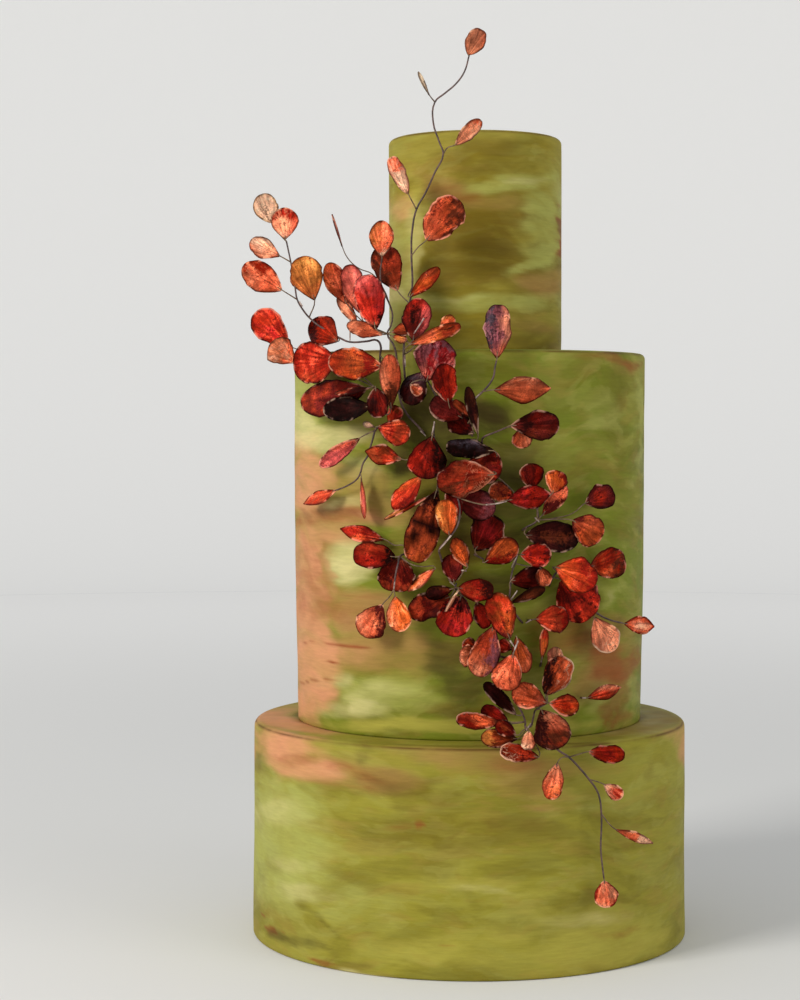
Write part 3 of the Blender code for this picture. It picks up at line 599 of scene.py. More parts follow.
def painted_paste(name, ground):
    """Olive ground of many strokes, with eight broken washes over it."""
    made, tree, shader = new_material(name)
    place = put(tree, "ShaderNodeTexCoord").outputs["Object"]
    sway = put(tree, "ShaderNodeTexNoise", Vector=place, Scale=9.0, Detail=2.0).outputs["Color"]
    sway = put(tree, "ShaderNodeVectorMath", {"operation": "MULTIPLY_ADD"}, n0=sway, n1=HAND_SWAY,
               n2=place).outputs[0]
    channels = stroke_channels(tree, sway, **BROAD_STROKES)
    channels += stroke_channels(tree, sway, **NARROW_STROKES)
    hairy = put(tree, "ShaderNodeMapping", Vector=place, Scale=(1.0, 1.0, 8.0)).outputs[0]
    hairs = mottling(tree, hairy, 95.0, 4.0, 0.6)
    fine = mottling(tree, place, 520.0, 3.0)

    colour = ground
    for channel, start, full, tint, most in GROUND_STROKES:
        mask = spread(tree, channels[channel], start, full, 0.0, most)
        colour = laid_over(tree, mask, colour, tint)
    layers = [stored(tree, layer) for layer in ("washes_a", "washes_b")]
    for number, wash in enumerate(WASHES):
        layer = layers[number // 4]
        if number % 4 == 3:
            strength = layer["Alpha"]
        else:
            parts = put(tree, "ShaderNodeSeparateColor", Color=layer["Color"]).outputs
            strength = parts[number % 4]
        broken = reckon(tree, "MULTIPLY_ADD", channels[(number + 3) % 6], WASH_BREAK, strength)
        thin = spread(tree, channels[(number + 1) % 6], 0.38, 0.6, 0.7, 1.0)
        thin = reckon(tree, "MULTIPLY", thin, strength)
        mask = reckon(tree, "MULTIPLY", spread(tree, broken, WASH_FROM, WASH_FULL), thin)
        colour = laid_over(tree, mask, colour, WASH_COLOUR[wash])
    colour = scaled(tree, colour, spread(tree, hairs, 0.32, 0.68, 0.93, 1.07))
    gathered = spread(tree, channels[3], 0.42, 0.58, 0.3, 0.85)
    rim = reckon(tree, "MULTIPLY", stored(tree, "rim_line")["Fac"], gathered)
    tree.links.new(laid_over(tree, rim, colour, RIM_BROWN), shader.inputs["Base Color"])

    relief = raised(tree, hairs, 0.16, 0.0007)
    relief = raised(tree, fine, 0.1, 0.0002, Normal=relief)
    tree.links.new(relief, shader.inputs["Normal"])
    tree.links.new(spread(tree, channels[1], 0.4, 0.6, 0.5, 0.66), shader.inputs["Roughness"])
    shader.inputs["Specular IOR Level"].default_value = 0.08
    return made


# %% Turn, shape and paint the three tiers
BROAD_LUMPS, SMALL_LUMPS = (0.45, 62.0), (0.15, 19.0)    # their height and their size
FLAT_FOOT = 8.0                                          # the lumps fade out over this height
BROAD_STIR, SMALL_STIR = (9.0, 4.0), (5.0, 1.2)          # how far a mark is stirred along and up
BROAD_STIR_SIZE, SMALL_STIR_SIZE = 34.0, 16.0
SMALL_STIR_SQUEEZE = (1.0, 1.0, 3.5)
RIM_LINE, RIM_LINE_WIDTH = 1.4, 0.8


def painted_tier(name, facts):
    """One finished tier over its solid."""
    shape = {key: value for key, value in facts.items() if key not in ("steps", "shift")}
    body = turned(name + "_painted", tier_outline(**shape), facts["steps"], facts["shift"])
    mesh = body.data
    points = np.empty(len(mesh.vertices) * 3, "f")
    mesh.vertices.foreach_get("co", points)
    points = points.reshape(-1, 3) / MM
    lumps = BROAD_LUMPS[0] * cloudy(points, BROAD_LUMPS[1], 1)[:, 0]
    lumps += SMALL_LUMPS[0] * cloudy(points, SMALL_LUMPS[1], 2)[:, 0]
    from_foot = np.clip((points[:, 2] - facts["foot"]) / FLAT_FOOT, 0.0, 1.0)
    radial = points[:, :2] - (facts["shift"], 0.0)
    on_wall = np.hypot(*radial.T) > facts["radius"] - RIM_ROUND - 1.0
    points[:, :2] += radial / facts["radius"] * (lumps * from_foot * on_wall)[:, None]
    mesh.vertices.foreach_set("co", (points * MM).astype("f").ravel())

    across, up, length = on_drawing(points, facts)
    stir = cloudy(points, BROAD_STIR_SIZE, 3)
    small_stir = cloudy(points * SMALL_STIR_SQUEEZE, SMALL_STIR_SIZE, 4)
    across += BROAD_STIR[0] * stir[:, 0] + SMALL_STIR[0] * small_stir[:, 0]
    up += BROAD_STIR[1] * stir[:, 1] + SMALL_STIR[1] * small_stir[:, 1]
    marks = [(wash, *mark) for wash, listed in MARKS[name].items() for mark in listed]
    marks += back_marks(name, facts, length / 2)
    strength = brushed(across, up, length, marks)
    store(mesh, "washes_a", *[strength[wash] for wash in WASHES[:4]])
    store(mesh, "washes_b", *[strength[wash] for wash in WASHES[4:]])
    from_rim = np.hypot(np.hypot(*radial.T) - facts["radius"] + 1.0,
                        points[:, 2] - facts["top"] + 1.0)
    rim_line = np.clip(RIM_LINE - from_rim / RIM_LINE_WIDTH, 0.0, 1.0)
    layer = mesh.attributes.new("rim_line", "FLOAT", "POINT")
    layer.data.foreach_set("value", rim_line.astype("f"))

    mesh.materials.append(painted_paste("paint_" + name, GROUND[name]))
    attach(body, "root")
    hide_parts(name)
    print(body.name, len(mesh.polygons), "faces")


for name, facts in TIERS.items():
    painted_tier(name, facts)

# %% [markdown]
# ## Hanging the spray in the air
# The leaves and wires are placed on the same flat drawing of the front. A third number says how
# many millimetres each point stands ahead of the surface that the spray lies on: the middle
# tier's wall, drawn in towards the top tier and out over the bottom one. Where it is None the
# point is on the wall itself, and the wire goes a little way into the sugar paste.

# %% Turn a place on the drawing into a place in space
LAY_HEIGHTS = (104.0, 135.0, 345.0, 420.0)
LAY_RADII = (127.0, 102.3, 102.3, 52.0)
LAY_LEAST = 45.0
MIDDLE_SEEN_FROM = 110.0
TOP_SEEN_FROM = 342.0
ROOT_DEPTH = 2.0


def lay_depth(x, z):
    """Depth of the surface that the spray lies on."""
    radius = float(np.interp(z, LAY_HEIGHTS, LAY_RADII))
    across = x * (1 + radius / VIEWPOINT.y)
    return -math.sqrt(max(radius ** 2 - across ** 2, LAY_LEAST ** 2))


def wall_depth(x, z):
    """Depth just inside the wall of the tier that shows at this place."""
    upper = "tier_top" if z > TOP_SEEN_FROM else "tier_middle"
    tier = TIERS[upper if z > MIDDLE_SEEN_FROM else "tier_bottom"]
    radius = tier["radius"]
    across = x * (1 + radius / VIEWPOINT.y) - tier["shift"]
    return -math.sqrt(radius ** 2 - across ** 2) + ROOT_DEPTH


def laid(x, z, ahead):
    """The place in space, in metres, of a point of the drawing."""
    depth = wall_depth(x, z) if ahead is None else lay_depth(x, z) - ahead
    nearness = (depth - VIEWPOINT.y) / -VIEWPOINT.y
    return (VIEWPOINT + (Vector((x, 0.0, z)) - VIEWPOINT) * nearness) * MM


print("a leaf at the drawing's middle hangs at", [round(v, 4) for v in laid(0, 235, 10)])

# %% [markdown]
# ## Colours for the leaves
# Each leaf is a piece of wafer paper, dabbed with colour while damp, so it is never one colour.
# A leaf's paint is written in words. The first is its ground. Each further word names a place and
# a tone: tip, base, left, right, top, low, middle, rim or spots. A tilde lets the tone bleed into
# the ground at about three quarters of its strength, one after another. A colon lays it on full,
# with a crisp edge, and only the last one counts. A caret gives the paper's cut edge that tone
# there. "lens" makes the leaf pointed at both ends, and "speckle" adds more dark flecks. The words
# also carry painted light: darker tones where other leaves shade a leaf, and lighter ones where it
# stands against the bright backdrop and light comes through it.

# %% Mix the leaf tones
TONES = {
    "black": (16, 4, 2), "ink": (42, 10, 8), "slate": (72, 64, 76), "wine": (92, 24, 22),
    "crimson": (138, 24, 28), "red": (172, 36, 22), "scarlet": (204, 54, 30),
    "brick": (146, 48, 26), "rust": (172, 70, 38), "terracotta": (190, 88, 56),
    "caramel": (202, 120, 58), "orange": (212, 96, 42), "bright": (238, 106, 46),
    "amber": (230, 154, 78), "coral": (232, 104, 70), "salmon": (238, 146, 112),
    "peach": (222, 160, 124), "pink": (206, 88, 88), "mauve": (128, 70, 80), "garnet": (122, 20, 9),
    "maroon": (76, 11, 5), "chestnut": (114, 42, 18), "umber": (86, 37, 20), "flame": (224, 72, 34),
    "apricot": (255, 190, 118), "blush": (255, 202, 172), "rose": (222, 110, 96),
    "copper": (150, 62, 26), "sienna": (188, 76, 30), "oxblood": (142, 31, 9),
    "pale": (232, 204, 176),
}
PAPER_TINT = np.array((1.0, 0.9, 0.8))         # the paper is cream, and warms every tone
TONE_COLOUR = {name: np.array(seen(*rgb)[:3]) * PAPER_TINT for name, rgb in TONES.items()}
DARK_TONES = ("black", "ink", "slate", "wine", "maroon", "umber", "garnet")
BLEED = 0.72                                   # strength of a tone after a tilde


def leaf_paint(words, places, drift):
    """Ground, wash, wash strength and edge tone for one leaf's points, from its paint in words."""
    ground = np.tile(TONE_COLOUR[words[0]], (len(drift), 1))
    wash, amount = ground * 0.6, 0.35 + 0.3 * drift
    edge_tone, edge_share = TONE_COLOUR["pale"], np.zeros(len(drift))
    for word in words[1:]:
        for sign in ":~^":
            if sign in word:
                where, tone = word.split(sign)
                share = np.clip(1.5 * places[where] + 0.9 * drift, 0.0, 1.0)
                if sign == ":":
                    wash, amount = np.tile(TONE_COLOUR[tone], (len(drift), 1)), share
                elif sign == "~":
                    ground = ground + (TONE_COLOUR[tone] - ground) * (BLEED * share)[:, None]
                else:
                    edge_tone, edge_share = TONE_COLOUR[tone], share
    edge = ground * 0.1 + TONE_COLOUR["black"]
    return ground, wash, amount, edge + (edge_tone * 0.9 - edge) * edge_share[:, None]


print("leaf tones:", len(TONES))

# %% [markdown]
# ## The shape of one leaf
# A paper leaf is cut by hand: narrow at its wire, broadest past the middle, and rounded at the
# tip, with a slightly uneven outline. It is bowed and cupped, and its edges ruffle. A grid is
# laid into that outline with its rows closer together towards the tip, where the outline turns
# fastest, and is then given the thickness of paper.

# %% Shape a leaf
LEAF_HABITS = {                                  # each leaf draws its own value between two ends
    "bow": (-0.5, 1.5), "cup": (-0.09, 0.13), "seed": (0.0, 90.0), "fold": (-0.1, 0.12),
    "bulge": (1.22, 1.5), "full": (0.5, 0.72), "uneven": (0.1, 0.22),
}
LEAF_LEAST = 0.4                                 # half width where a leaf starts, in millimetres
LEAF_CELLS = (10, 16)                            # across and along
LEAF_START, LEAF_RUN = 0.02, 0.977               # shares of its length: the first row, and the rest
LEAF_HEART, LEAF_SPAN = 0.56, 0.48               # its middle for the paint, and half its length
PAPER = 0.34                                     # thickness
RUFFLE, RUFFLE_MOST = 0.17, 3.2                  # a share of the leaf's width, and millimetres
MIDRIB_END = 0.13                                # how far up the leaf its wire is glued
DRIFT = 170.0                                    # how fine the paint's drifts are, for each metre
RIM_BAND = 1.6                                   # width that the word "rim" covers
PALE_FOOT = 0.16                                 # how far up the leaf its pale start reaches
PALENESS, DARK_PALENESS = 0.45, 0.1
FLECKS, SPECKLES = 0.5, 0.9                      # how readily dark flecks show


def half_width(shape, along):
    """Half the leaf's width at a share of its length."""
    if "lens" in shape["paint"]:
        return math.sin(math.pi * min(along, 1.0) ** 1.12) ** 0.92
    return math.sin(math.pi * along ** shape["bulge"]) ** (shape["full"] - 0.18 * along)


def leaf_point(shape, along, across):
    """A point of the leaf's middle surface, with across from -1 to 1 and along from 0 to 1."""
    (x0, z0, a0), (x1, z1, a1) = shape["base"], shape["tip"]
    length = math.hypot(x1 - x0, z1 - z0)
    side_x, side_z = -(z1 - z0) / length, (x1 - x0) / length
    half = half_width(shape, along)
    uneven = noise.noise(Vector((along * 3.1, 2.0 * np.sign(across), shape["seed"])))
    uneven += 0.7 * noise.noise(Vector((along * 8.0, 5.0 * np.sign(across), shape["seed"])))
    edge = half * shape["width"] / 2 * (1 + shape["uneven"] * uneven * half)
    reach = across * max(edge, LEAF_LEAST)
    ruffle = noise.noise(Vector((along * 3.7, across * 1.3, shape["seed"] + 40.0)))
    ahead = a0 + (a1 - a0) * along
    ahead += across * half * shape["roll"] / 2
    ahead += shape["bow"] * 4 * along * (1 - along)
    ahead += shape["width"] * (shape["cup"] * (across * half) ** 2
                               + shape["fold"] * abs(across) * half)
    ahead += ruffle * min(RUFFLE_MOST, RUFFLE * shape["width"]) * (abs(across) * half + 0.3 * along)
    return laid(x0 + (x1 - x0) * along + side_x * reach,
                z0 + (z1 - z0) * along + side_z * reach, ahead)


def leaf_mesh(name, shape):
    """One paper leaf with its paint, as a mesh."""
    words = shape["paint"].split()
    (x0, z0, _), (x1, z1, _) = shape["base"], shape["tip"]
    length = math.hypot(x1 - x0, z1 - z0)
    go_x, go_z = (x1 - x0) / length, (z1 - z0) / length
    bm = bmesh.new()
    colours = bm.verts.layers.float_color
    layers = [colours.new(layer) for layer in ("ground", "wash", "edge", "bare")]
    layers.append(bm.verts.layers.float_vector.new("leaf_map"))
    bmesh.ops.create_grid(bm, x_segments=LEAF_CELLS[0], y_segments=LEAF_CELLS[1], size=1.0)
    vertices = list(bm.verts)
    across = np.array([vertex.co.x for vertex in vertices])
    turns = [math.pi / 4 * (vertex.co.y + 1) for vertex in vertices]
    along = np.array([LEAF_START + LEAF_RUN * math.sin(turn) for turn in turns])
    half = np.array([half_width(shape, share) for share in along])
    side, up = across * half, (along - LEAF_HEART) / LEAF_SPAN
    left, top = -(side * -go_z + up * go_x), side * go_x + up * go_z
    from_rim = np.minimum((1 - np.abs(across)) * half * shape["width"] / 2, (1 - along) * length)
    for vertex, a, b in zip(vertices, along, across):
        vertex.co = leaf_point(shape, a, b)
    start = Vector((shape["seed"] * 3.7, 0.0, 0.0))
    drift = [noise.fractal(vertex.co * DRIFT + start, 1.0, 2.0, 3) for vertex in vertices]
    drift = np.array(drift)
    places = {"tip": along * 2.2 - 1.25, "base": 0.75 - along * 2.4, "left": left, "right": -left,
              "top": top, "low": -top, "rim": 1.0 - from_rim / RIM_BAND,
              "middle": 0.75 - np.hypot(side, up), "spots": 2.0 * drift + 0.15}
    ground, wash, amount, edge = leaf_paint(words, places, drift)
    paleness = DARK_PALENESS if words[0] in DARK_TONES else PALENESS
    pale_base = np.clip(1.0 - along / PALE_FOOT, 0.0, 1.0)[:, None] * paleness
    ground = ground + (TONE_COLOUR["salmon"] - ground) * pale_base
    fleck = SPECKLES if "speckle" in words else FLECKS
    depth = 1.0 - 0.8 * min(1.0, float(ground.mean()) / 0.4)
    bare = np.minimum(ground * 1.7 + 0.002, 1.0)
    bare += (TONE_COLOUR["peach"] - bare) * np.clip(0.9 * ground[:, :1] - 0.3, 0.0, 0.35)
    maps = [side * shape["width"] / 20, along * length / 10, np.full(len(along), shape["seed"])]
    maps = np.stack(maps, axis=1)
    for vertex, *values in zip(vertices, ground, wash, amount, edge, from_rim, bare, maps):
        vertex[layers[0]] = (*values[0], fleck)
        vertex[layers[1]] = (*values[1], values[2])
        vertex[layers[2]] = (*values[3], values[4])
        vertex[layers[3]] = (*values[5], depth)
        vertex[layers[4]] = values[6]
    bmesh.ops.solidify(bm, geom=list(bm.faces), thickness=PAPER * MM)
    bmesh.ops.recalc_face_normals(bm, faces=bm.faces)
    for face in bm.faces:
        face.smooth = True
    mesh = bpy.data.meshes.new(name)
    bm.to_mesh(mesh)
    bm.free()
    return mesh


# %% [markdown]
# ## Painted wafer paper
# Close up, the colour sits in mottles a millimetre or two across, with darker flecks where it
# pooled, and a thin dark line where the paper's cut edge drank it up. Fine creases carry that dark
# tone over the leaf, and here and there the rim turns pale: partly the cream of the bare paper,
# partly a painted highlight where the cut edge catches the light. The surface is matt and cockled
# from the damp. All leaves share this one finish, because their tones are stored on their points.

# %% Make the leaf finish
FLECK_BROWN = seen(40, 8, 10)
PAPER_CREAM = seen(236, 190, 160)


def leaf_finish():
    """Mottled colour on thin paper, over the tones that are stored on the leaves' points."""
    made, tree, shader = new_material("painted_paper")
    place = put(tree, "ShaderNodeTexCoord").outputs["Object"]
    mottle = mottling(tree, place, 560.0, 6.0, 0.66, 0.4)
    clouds = mottling(tree, place, 120.0, 3.0)
    grit = mottling(tree, place, 1300.0, 3.0, 0.6)
    cockle = mottling(tree, place, 210.0, 4.0, 0.6, 0.8)
    ground, wash, edge, bare = [stored(tree, name) for name in ("ground", "wash", "edge", "bare")]

    parts = put(tree, "ShaderNodeSeparateXYZ", Vector=stored(tree, "leaf_map")["Vector"]).outputs
    turn = reckon(tree, "ARCTAN2", parts[0], reckon(tree, "ADD", parts[1], 0.12))
    fan = put(tree, "ShaderNodeCombineXYZ", X=turn, Y=reckon(tree, "MULTIPLY", parts[1], 0.06),
              Z=parts[2]).outputs[0]
    veins = mottling(tree, fan, 9.0, 4.0, 0.65)

    pooled = reckon(tree, "MULTIPLY_ADD", mottle, 1.5, spread(tree, grit, 0.0, 1.0, 0.0, 0.4))
    mixed = reckon(tree, "MULTIPLY_ADD", pooled, 1.4, wash["Alpha"])
    colour = laid_over(tree, spread(tree, mixed, 1.56, 1.98), ground["Color"], wash["Color"])
    streaked = reckon(tree, "MULTIPLY_ADD", veins, 0.8, clouds)
    colour = laid_over(tree, spread(tree, streaked, 0.92, 1.14, 0.0, 0.6), colour, bare["Color"])
    shaded = spread(tree, edge["Alpha"], 0.2, 2.6, -0.55, 0.0)
    colour = scaled(tree, colour, reckon(tree, "MULTIPLY_ADD", shaded, bare["Alpha"], 1.1))
    for pattern, least, most in ((clouds, 0.54, 1.45), (mottle, 0.36, 1.7), (veins, 0.46, 1.53)):
        colour = scaled(tree, colour, spread(tree, pattern, 0.34, 0.66, least, most))

    fleck = reckon(tree, "MULTIPLY_ADD", ground["Alpha"], 0.16, pooled)
    gathered = spread(tree, clouds, 0.44, 0.58, 0.25, 1.0)
    fleck = reckon(tree, "MULTIPLY", spread(tree, fleck, 1.05, 1.16, 0.0, 0.8), gathered)
    colour = laid_over(tree, fleck, colour, FLECK_BROWN)
    crease = reckon(tree, "ABSOLUTE", reckon(tree, "SUBTRACT", cockle, 0.5))
    colour = laid_over(tree, spread(tree, crease, 0.0, 0.024, 0.6, 0.0), colour, edge["Color"])
    glint = spread(tree, pooled, 0.86, 0.72, 0.0, 0.5)
    colour = put(tree, "ShaderNodeMix", {"data_type": "RGBA", "blend_type": "SCREEN"}, n0=glint,
                 n6=colour, n7=ground["Color"]).outputs[2]
    rim = reckon(tree, "MULTIPLY_ADD", mottle, -1.6, edge["Alpha"])
    # Pale stretches of the rim: the cream of the bare paper, and in part a painted highlight where
    # the edge catches the light.
    cream = laid_over(tree, 0.4, bare["Color"], PAPER_CREAM)
    bare_and_highlit_rim = laid_over(tree, spread(tree, clouds, 0.53, 0.6), edge["Color"], cream)
    colour = laid_over(tree, spread(tree, rim, -0.55, 0.35, 0.85, 0.0), colour, bare_and_highlit_rim)
    tree.links.new(colour, shader.inputs["Base Color"])

    relief = raised(tree, cockle, 0.45, 0.0008)
    relief = raised(tree, veins, 0.35, 0.0004, Normal=relief)
    relief = raised(tree, mottle, 0.3, 0.00025, Normal=relief)
    tree.links.new(relief, shader.inputs["Normal"])
    tree.links.new(spread(tree, mottle, 0.35, 0.65, 0.4, 0.62), shader.inputs["Roughness"])
    shader.inputs["Specular IOR Level"].default_value = 0.02
    return made


PAINTED_PAPER = leaf_finish()

# %% [markdown]
# ## Wires and tape
# Each leaf is glued to a fine covered wire. The wires are gathered into a twig and wrapped with
# dark brown florist's tape, and here and there a pale end of tape or bare wire shows. A wire is
# a smooth curve through its points with a round section that thins towards its end. The curve is
# made a mesh, so that all a twig's wires are one piece with three finishes.

# %% Make the wires' finishes
def wire_finish(name, dark, light, size):
    """Wrapped wire: two tones that change along it, and a fine winding in relief."""
    made, tree, shader = new_material(name)
    place = put(tree, "ShaderNodeTexCoord").outputs["Object"]
    worn = spread(tree, mottling(tree, place, size, 4.0, 0.6), 0.4, 0.62)
    tree.links.new(laid_over(tree, worn, dark, light), shader.inputs["Base Color"])
    winding = raised(tree, mottling(tree, place, 1500.0, 2.0), 0.4, 0.0002)
    tree.links.new(winding, shader.inputs["Normal"])
    shader.inputs["Roughness"].default_value = 0.6
    return made


WIRE_FINISHES = [
    wire_finish("brown_tape", seen(52, 34, 32), seen(96, 68, 60), 320.0),
    wire_finish("covered_wire", seen(78, 56, 40), seen(122, 96, 66), 260.0),
    wire_finish("pale_tape", seen(188, 166, 152), seen(112, 84, 76), 420.0),
]
BROWN, THIN, PALE = 0, 1, 2
STEM = (1.25, 0.875, BROWN)                      # thick end, thin end and finish
WIRE = (0.78, 0.48, THIN)
TAPE = (0.95, 0.65, PALE)


# %% Draw the wires of one twig
def add_wire(curve, points, thick, thin, finish):
    """One more smooth strand in a curve, from its thick end to its thin end."""
    strand = curve.splines.new("BEZIER")
    strand.bezier_points.add(len(points) - 1)
    for number, (knot, place) in enumerate(zip(strand.bezier_points, points)):
        knot.co = place
        knot.handle_left_type = knot.handle_right_type = "AUTO"
        share = number / max(1, len(points) - 1)
        knot.radius = thick + (thin - thick) * share
    strand.resolution_u = 4
    strand.material_index = finish


def wires_mesh(name, strands):
    """All a twig's strands as one closed mesh."""
    curve = bpy.data.curves.new(name, "CURVE")
    curve.dimensions = "3D"
    curve.bevel_depth = MM / 2
    curve.bevel_resolution = 2
    curve.use_fill_caps = True
    for finish in WIRE_FINISHES:
        curve.materials.append(finish)
    for strand in strands:
        add_wire(curve, *strand)
    drawn = bpy.data.objects.new(name + "_curve", curve)
    bpy.context.scene.collection.objects.link(drawn)
    evaluated = drawn.evaluated_get(bpy.context.evaluated_depsgraph_get())
    mesh = bpy.data.meshes.new_from_object(evaluated)
    bpy.data.objects.remove(drawn)
    bm = bmesh.new()
    bm.from_mesh(mesh)
    bmesh.ops.remove_doubles(bm, verts=bm.verts, dist=SAME_POINT)
    bmesh.ops.recalc_face_normals(bm, faces=bm.faces)
    for face in bm.faces:
        face.smooth = True
    bm.to_mesh(mesh)
    bm.free()
    return mesh


# %% [markdown]
# ## The twigs
# Every twig has its stem as a list of places on the drawing, from its far end to the wall, and
# its leaves. A leaf names the stem's place that its wire leaves, its paint, its base and its tip,
# the width that is seen, how much nearer its left edge stands than its right, and the wire's own
# way there. Bits of pale tape are short strands by themselves. The paint words hold painted light
# too: a leaf in the shade of others is darker, often with black or ink where another leaf shades
# it, and a leaf against the bright backdrop is lighter, for the light that comes through the paper.

# %% A leaf and a twig in the table
def leaf(fork, paint, base, tip, width, roll, via=()):
    """What one line of the tables says of a leaf."""
    return {"fork": fork, "paint": paint, "base": base, "tip": tip, "width": width, "roll": roll,
            "via": via}


TWIGS = {}

# %% Twigs of the upper left
TWIGS["twig_crown"] = {
    "stem": [(-0.2, 512.6, 15), (-3, 503, 15), (-8, 496, 15), (-14.5, 490.5, 15),
             (-20.2, 485.5, 14), (-21.2, 474, 13), (-17.5, 462, 12), (-15.3, 455.3, 12),
             (-20, 445, 12), (-25.5, 433, 12), (-31, 423, 12), (-33.3, 412, 12), (-33.9, 396, 11),
             (-33.4, 378, 10), (-35, 368, 10), (-37, 358, 9), (-38, 348, 9), (-38.5, 338, 8),
             (-38, 328, 6), (-37, 320, None)],
    "leaves": [
        leaf(0, "salmon right~coral low~bright spots~salmon", (-0.9, 513, 15), (7, 527.6, 20), 12,
             3),
        leaf(4, "pale tip~pale", (-23.5, 489.7, 16), (-30, 503.3, 19), 2.4, 8),
        leaf(7, "salmon right~blush spots~salmon tip:coral", (-8.5, 460.5, 15), (6.8, 475, 19), 8.6,
             7, [(-13, 458.8, 13)]),
        leaf(10, "blush rim~salmon tip~rose tip:coral", (-35.7, 432, 15), (-46, 453.7, 20), 9.6,
             -8),
        leaf(12, "rust left~coral spots~brick right:umber speckle", (-25.3, 405, 16),
             (-7, 429.5, 21), 22, 4, [(-30, 401, 13)]),
        leaf(13, "sienna right~brick spots~scarlet top:rust", (-35, 372, 15), (-17.5, 389, 19), 9,
             7),
        leaf(14, "brick low~chestnut left:umber speckle", (-42, 375.5, 11), (-52.5, 402, 12), 17.5,
             3),
        leaf(16, "maroon right~pink top~red middle:black", (-33, 346.5, 21), (-29, 371.3, 25), 17.5,
             -3),
        leaf(17, "terracotta left~coral spots~orange tip:brick", (-35, 344, 25), (-5, 355.5, 30),
             8.5, 8),
        leaf(17, "rust top~caramel middle:coral", (-17, 353.5, 30), (-9, 360.5, 33), 8.5, 3,
             [(-33, 342, 20), (-27, 349, 25)]),
    ],
    "tape": [((-26.5, 359.5, 28), (-32.3, 350.5, 25)), ((-38, 341, 10), (-37.4, 331, 8))],
}
TWIGS["twig_cluster"] = {
    "stem": [(-51.2, 394, 18), (-52.2, 385, 19), (-51, 377, 18), (-46.5, 367, 16), (-45, 361, 15),
             (-46, 355, 14.5), (-48, 350.5, 14), (-44, 343, 11), (-42.8, 338, 9), (-42.2, 330, 8),
             (-41.5, 320, 8), (-40.3, 311, 7), (-37, 304, 6), (-28, 294, 4), (-26, 291.3, None)],
    "leaves": [
        leaf(0, "coral left~caramel rim~brick base:blush", (-51.2, 395.5, 18), (-51.5, 416.8, 22),
             14.5, -3),
        leaf(6, "coral left~orange spots~rust right:garnet", (-72, 368, 7), (-83, 392, 7), 14, 2,
             [(-60, 356, 9)]),
        leaf(6, "rose rim~crimson spots~pink low~terracotta", (-64, 362.5, 13), (-71, 391, 15), 14,
             -2, [(-60, 355, 12)]),
        leaf(6, "red top~pink right~crimson base:black", (-54.7, 353, 21), (-61, 385, 26), 18, 3),
        leaf(6, "salmon right~maroon right:rust", (-66, 357, 9), (-77, 372, 6), 7, 3,
             [(-58, 352.5, 11)]),
        leaf(6, "terracotta low~brick tip~salmon", (-50.5, 350, 18), (-72, 356, 20), 9.5, 5),
        leaf(6, "rust right~brick low~ink", (-45.5, 351.5, 17), (-33, 354.5, 16), 7.5, -2),
        leaf(6, "caramel tip~mauve top:rust", (-45, 349, 17), (-36.5, 347, 16), 6, 2),
        leaf(3, "rose low~mauve left:mauve", (-74.5, 401.5, 9), (-80.5, 420.5, 12), 1.6, 10,
             [(-50, 376, 8), (-57, 385.5, 8), (-66, 389.5, 8), (-71.5, 395, 8)]),
    ],
    "tape": [((-70, 359, 19), (-70, 346.5, 15.5)), ((-28.5, 293.5, 5), (-25.5, 290.5, 4)),
             ((-33, 299.5, 6), (-28.5, 294.2, 5))],
}
TWIGS["twig_arch"] = {
    "stem": [(-107.3, 404.5, 18), (-104.8, 392.5, 18), (-102.3, 378, 18), (-101, 370.5, 18),
             (-98, 365, 18), (-94, 360, 17), (-84, 352.5, 14), (-76, 348, 13), (-70, 345.6, 13),
             (-60, 346, 13), (-54, 346.5, 13), (-52, 343.5, 12), (-52.3, 338, 9), (-52, 328, None)],
    "leaves": [
        leaf(0, "blush rim~apricot spots~pale", (-116, 415.5, 19), (-122.3, 432.3, 21), 14.8, 2,
             [(-111.5, 409, 17)]),
        leaf(0, "salmon base~blush right~scarlet top:red", (-108, 406, 20), (-108.5, 424.5, 23), 16,
             -3),
        leaf(1, "salmon middle~blush rim~coral top:blush", (-111, 396, 20), (-128.8, 404.8, 22), 12,
             5),
        leaf(3, "coral left~salmon spots~rust top:oxblood", (-109.8, 376, 21), (-133, 390.5, 23),
             18, 3),
        leaf(5, "caramel top~amber low~rust rim~orange", (-90.7, 370, 20), (-99, 395.7, 23), 20,
             -3),
        leaf(7, "scarlet right~red spots~crimson rim:oxblood", (-106, 343.5, 6), (-126, 363, 6),
             18.5, -2, [(-88, 343, 6), (-98, 341, 5)]),
        leaf(7, "oxblood right~brick left:ink", (-77, 346, 14), (-93.4, 357.5, 16.5), 17.8, 2),
        leaf(12, "copper spots~sienna left~garnet right:garnet", (-50.5, 331.5, 18),
             (-83, 334.5, 25), 19, 3),
    ],
    "tape": [((-98, 366.5, 18), (-99.8, 369.5, 18.5))],
}
TWIGS["twig_wine"] = {
    "stem": [(-55.5, 319, 14), (-54.5, 313, 10), (-53, 306, 5), (-52, 302, None)],
    "leaves": [
        leaf(0, "red low~rust spots~scarlet rim~brick", (-78, 335, 17.5), (-103.5, 332.5, 21), 24,
             -2, [(-62, 325, 11), (-70, 331, 12)]),
        leaf(0, "salmon left~blush spots~orange right:coral", (-101.5, 333.5, 15), (-117, 345, 17),
             16.5, 2, [(-66, 324, 8), (-84, 330, 9)]),
        leaf(0, "wine left~brick spots~brick right:maroon", (-60, 318.5, 13), (-99, 309, 16), 20,
             2),
        leaf(0, "maroon left~terracotta tip~brick", (-57.5, 319, 18), (-79, 315.5, 21), 3.8, 8),
        leaf(1, "black middle~ink", (-57, 308, 16), (-86, 305.5, 23), 15, 3),
        leaf(0, "maroon base~ink left:ink", (-55, 319, 20), (-53, 301.5, 22), 13.5, 2),
        leaf(2, "terracotta left~salmon top~coral right~brick low:umber", (-46, 306, 19),
             (-46.7, 338.5, 22), 13, 5, [(-48.5, 303, 12)]),
    ],
}
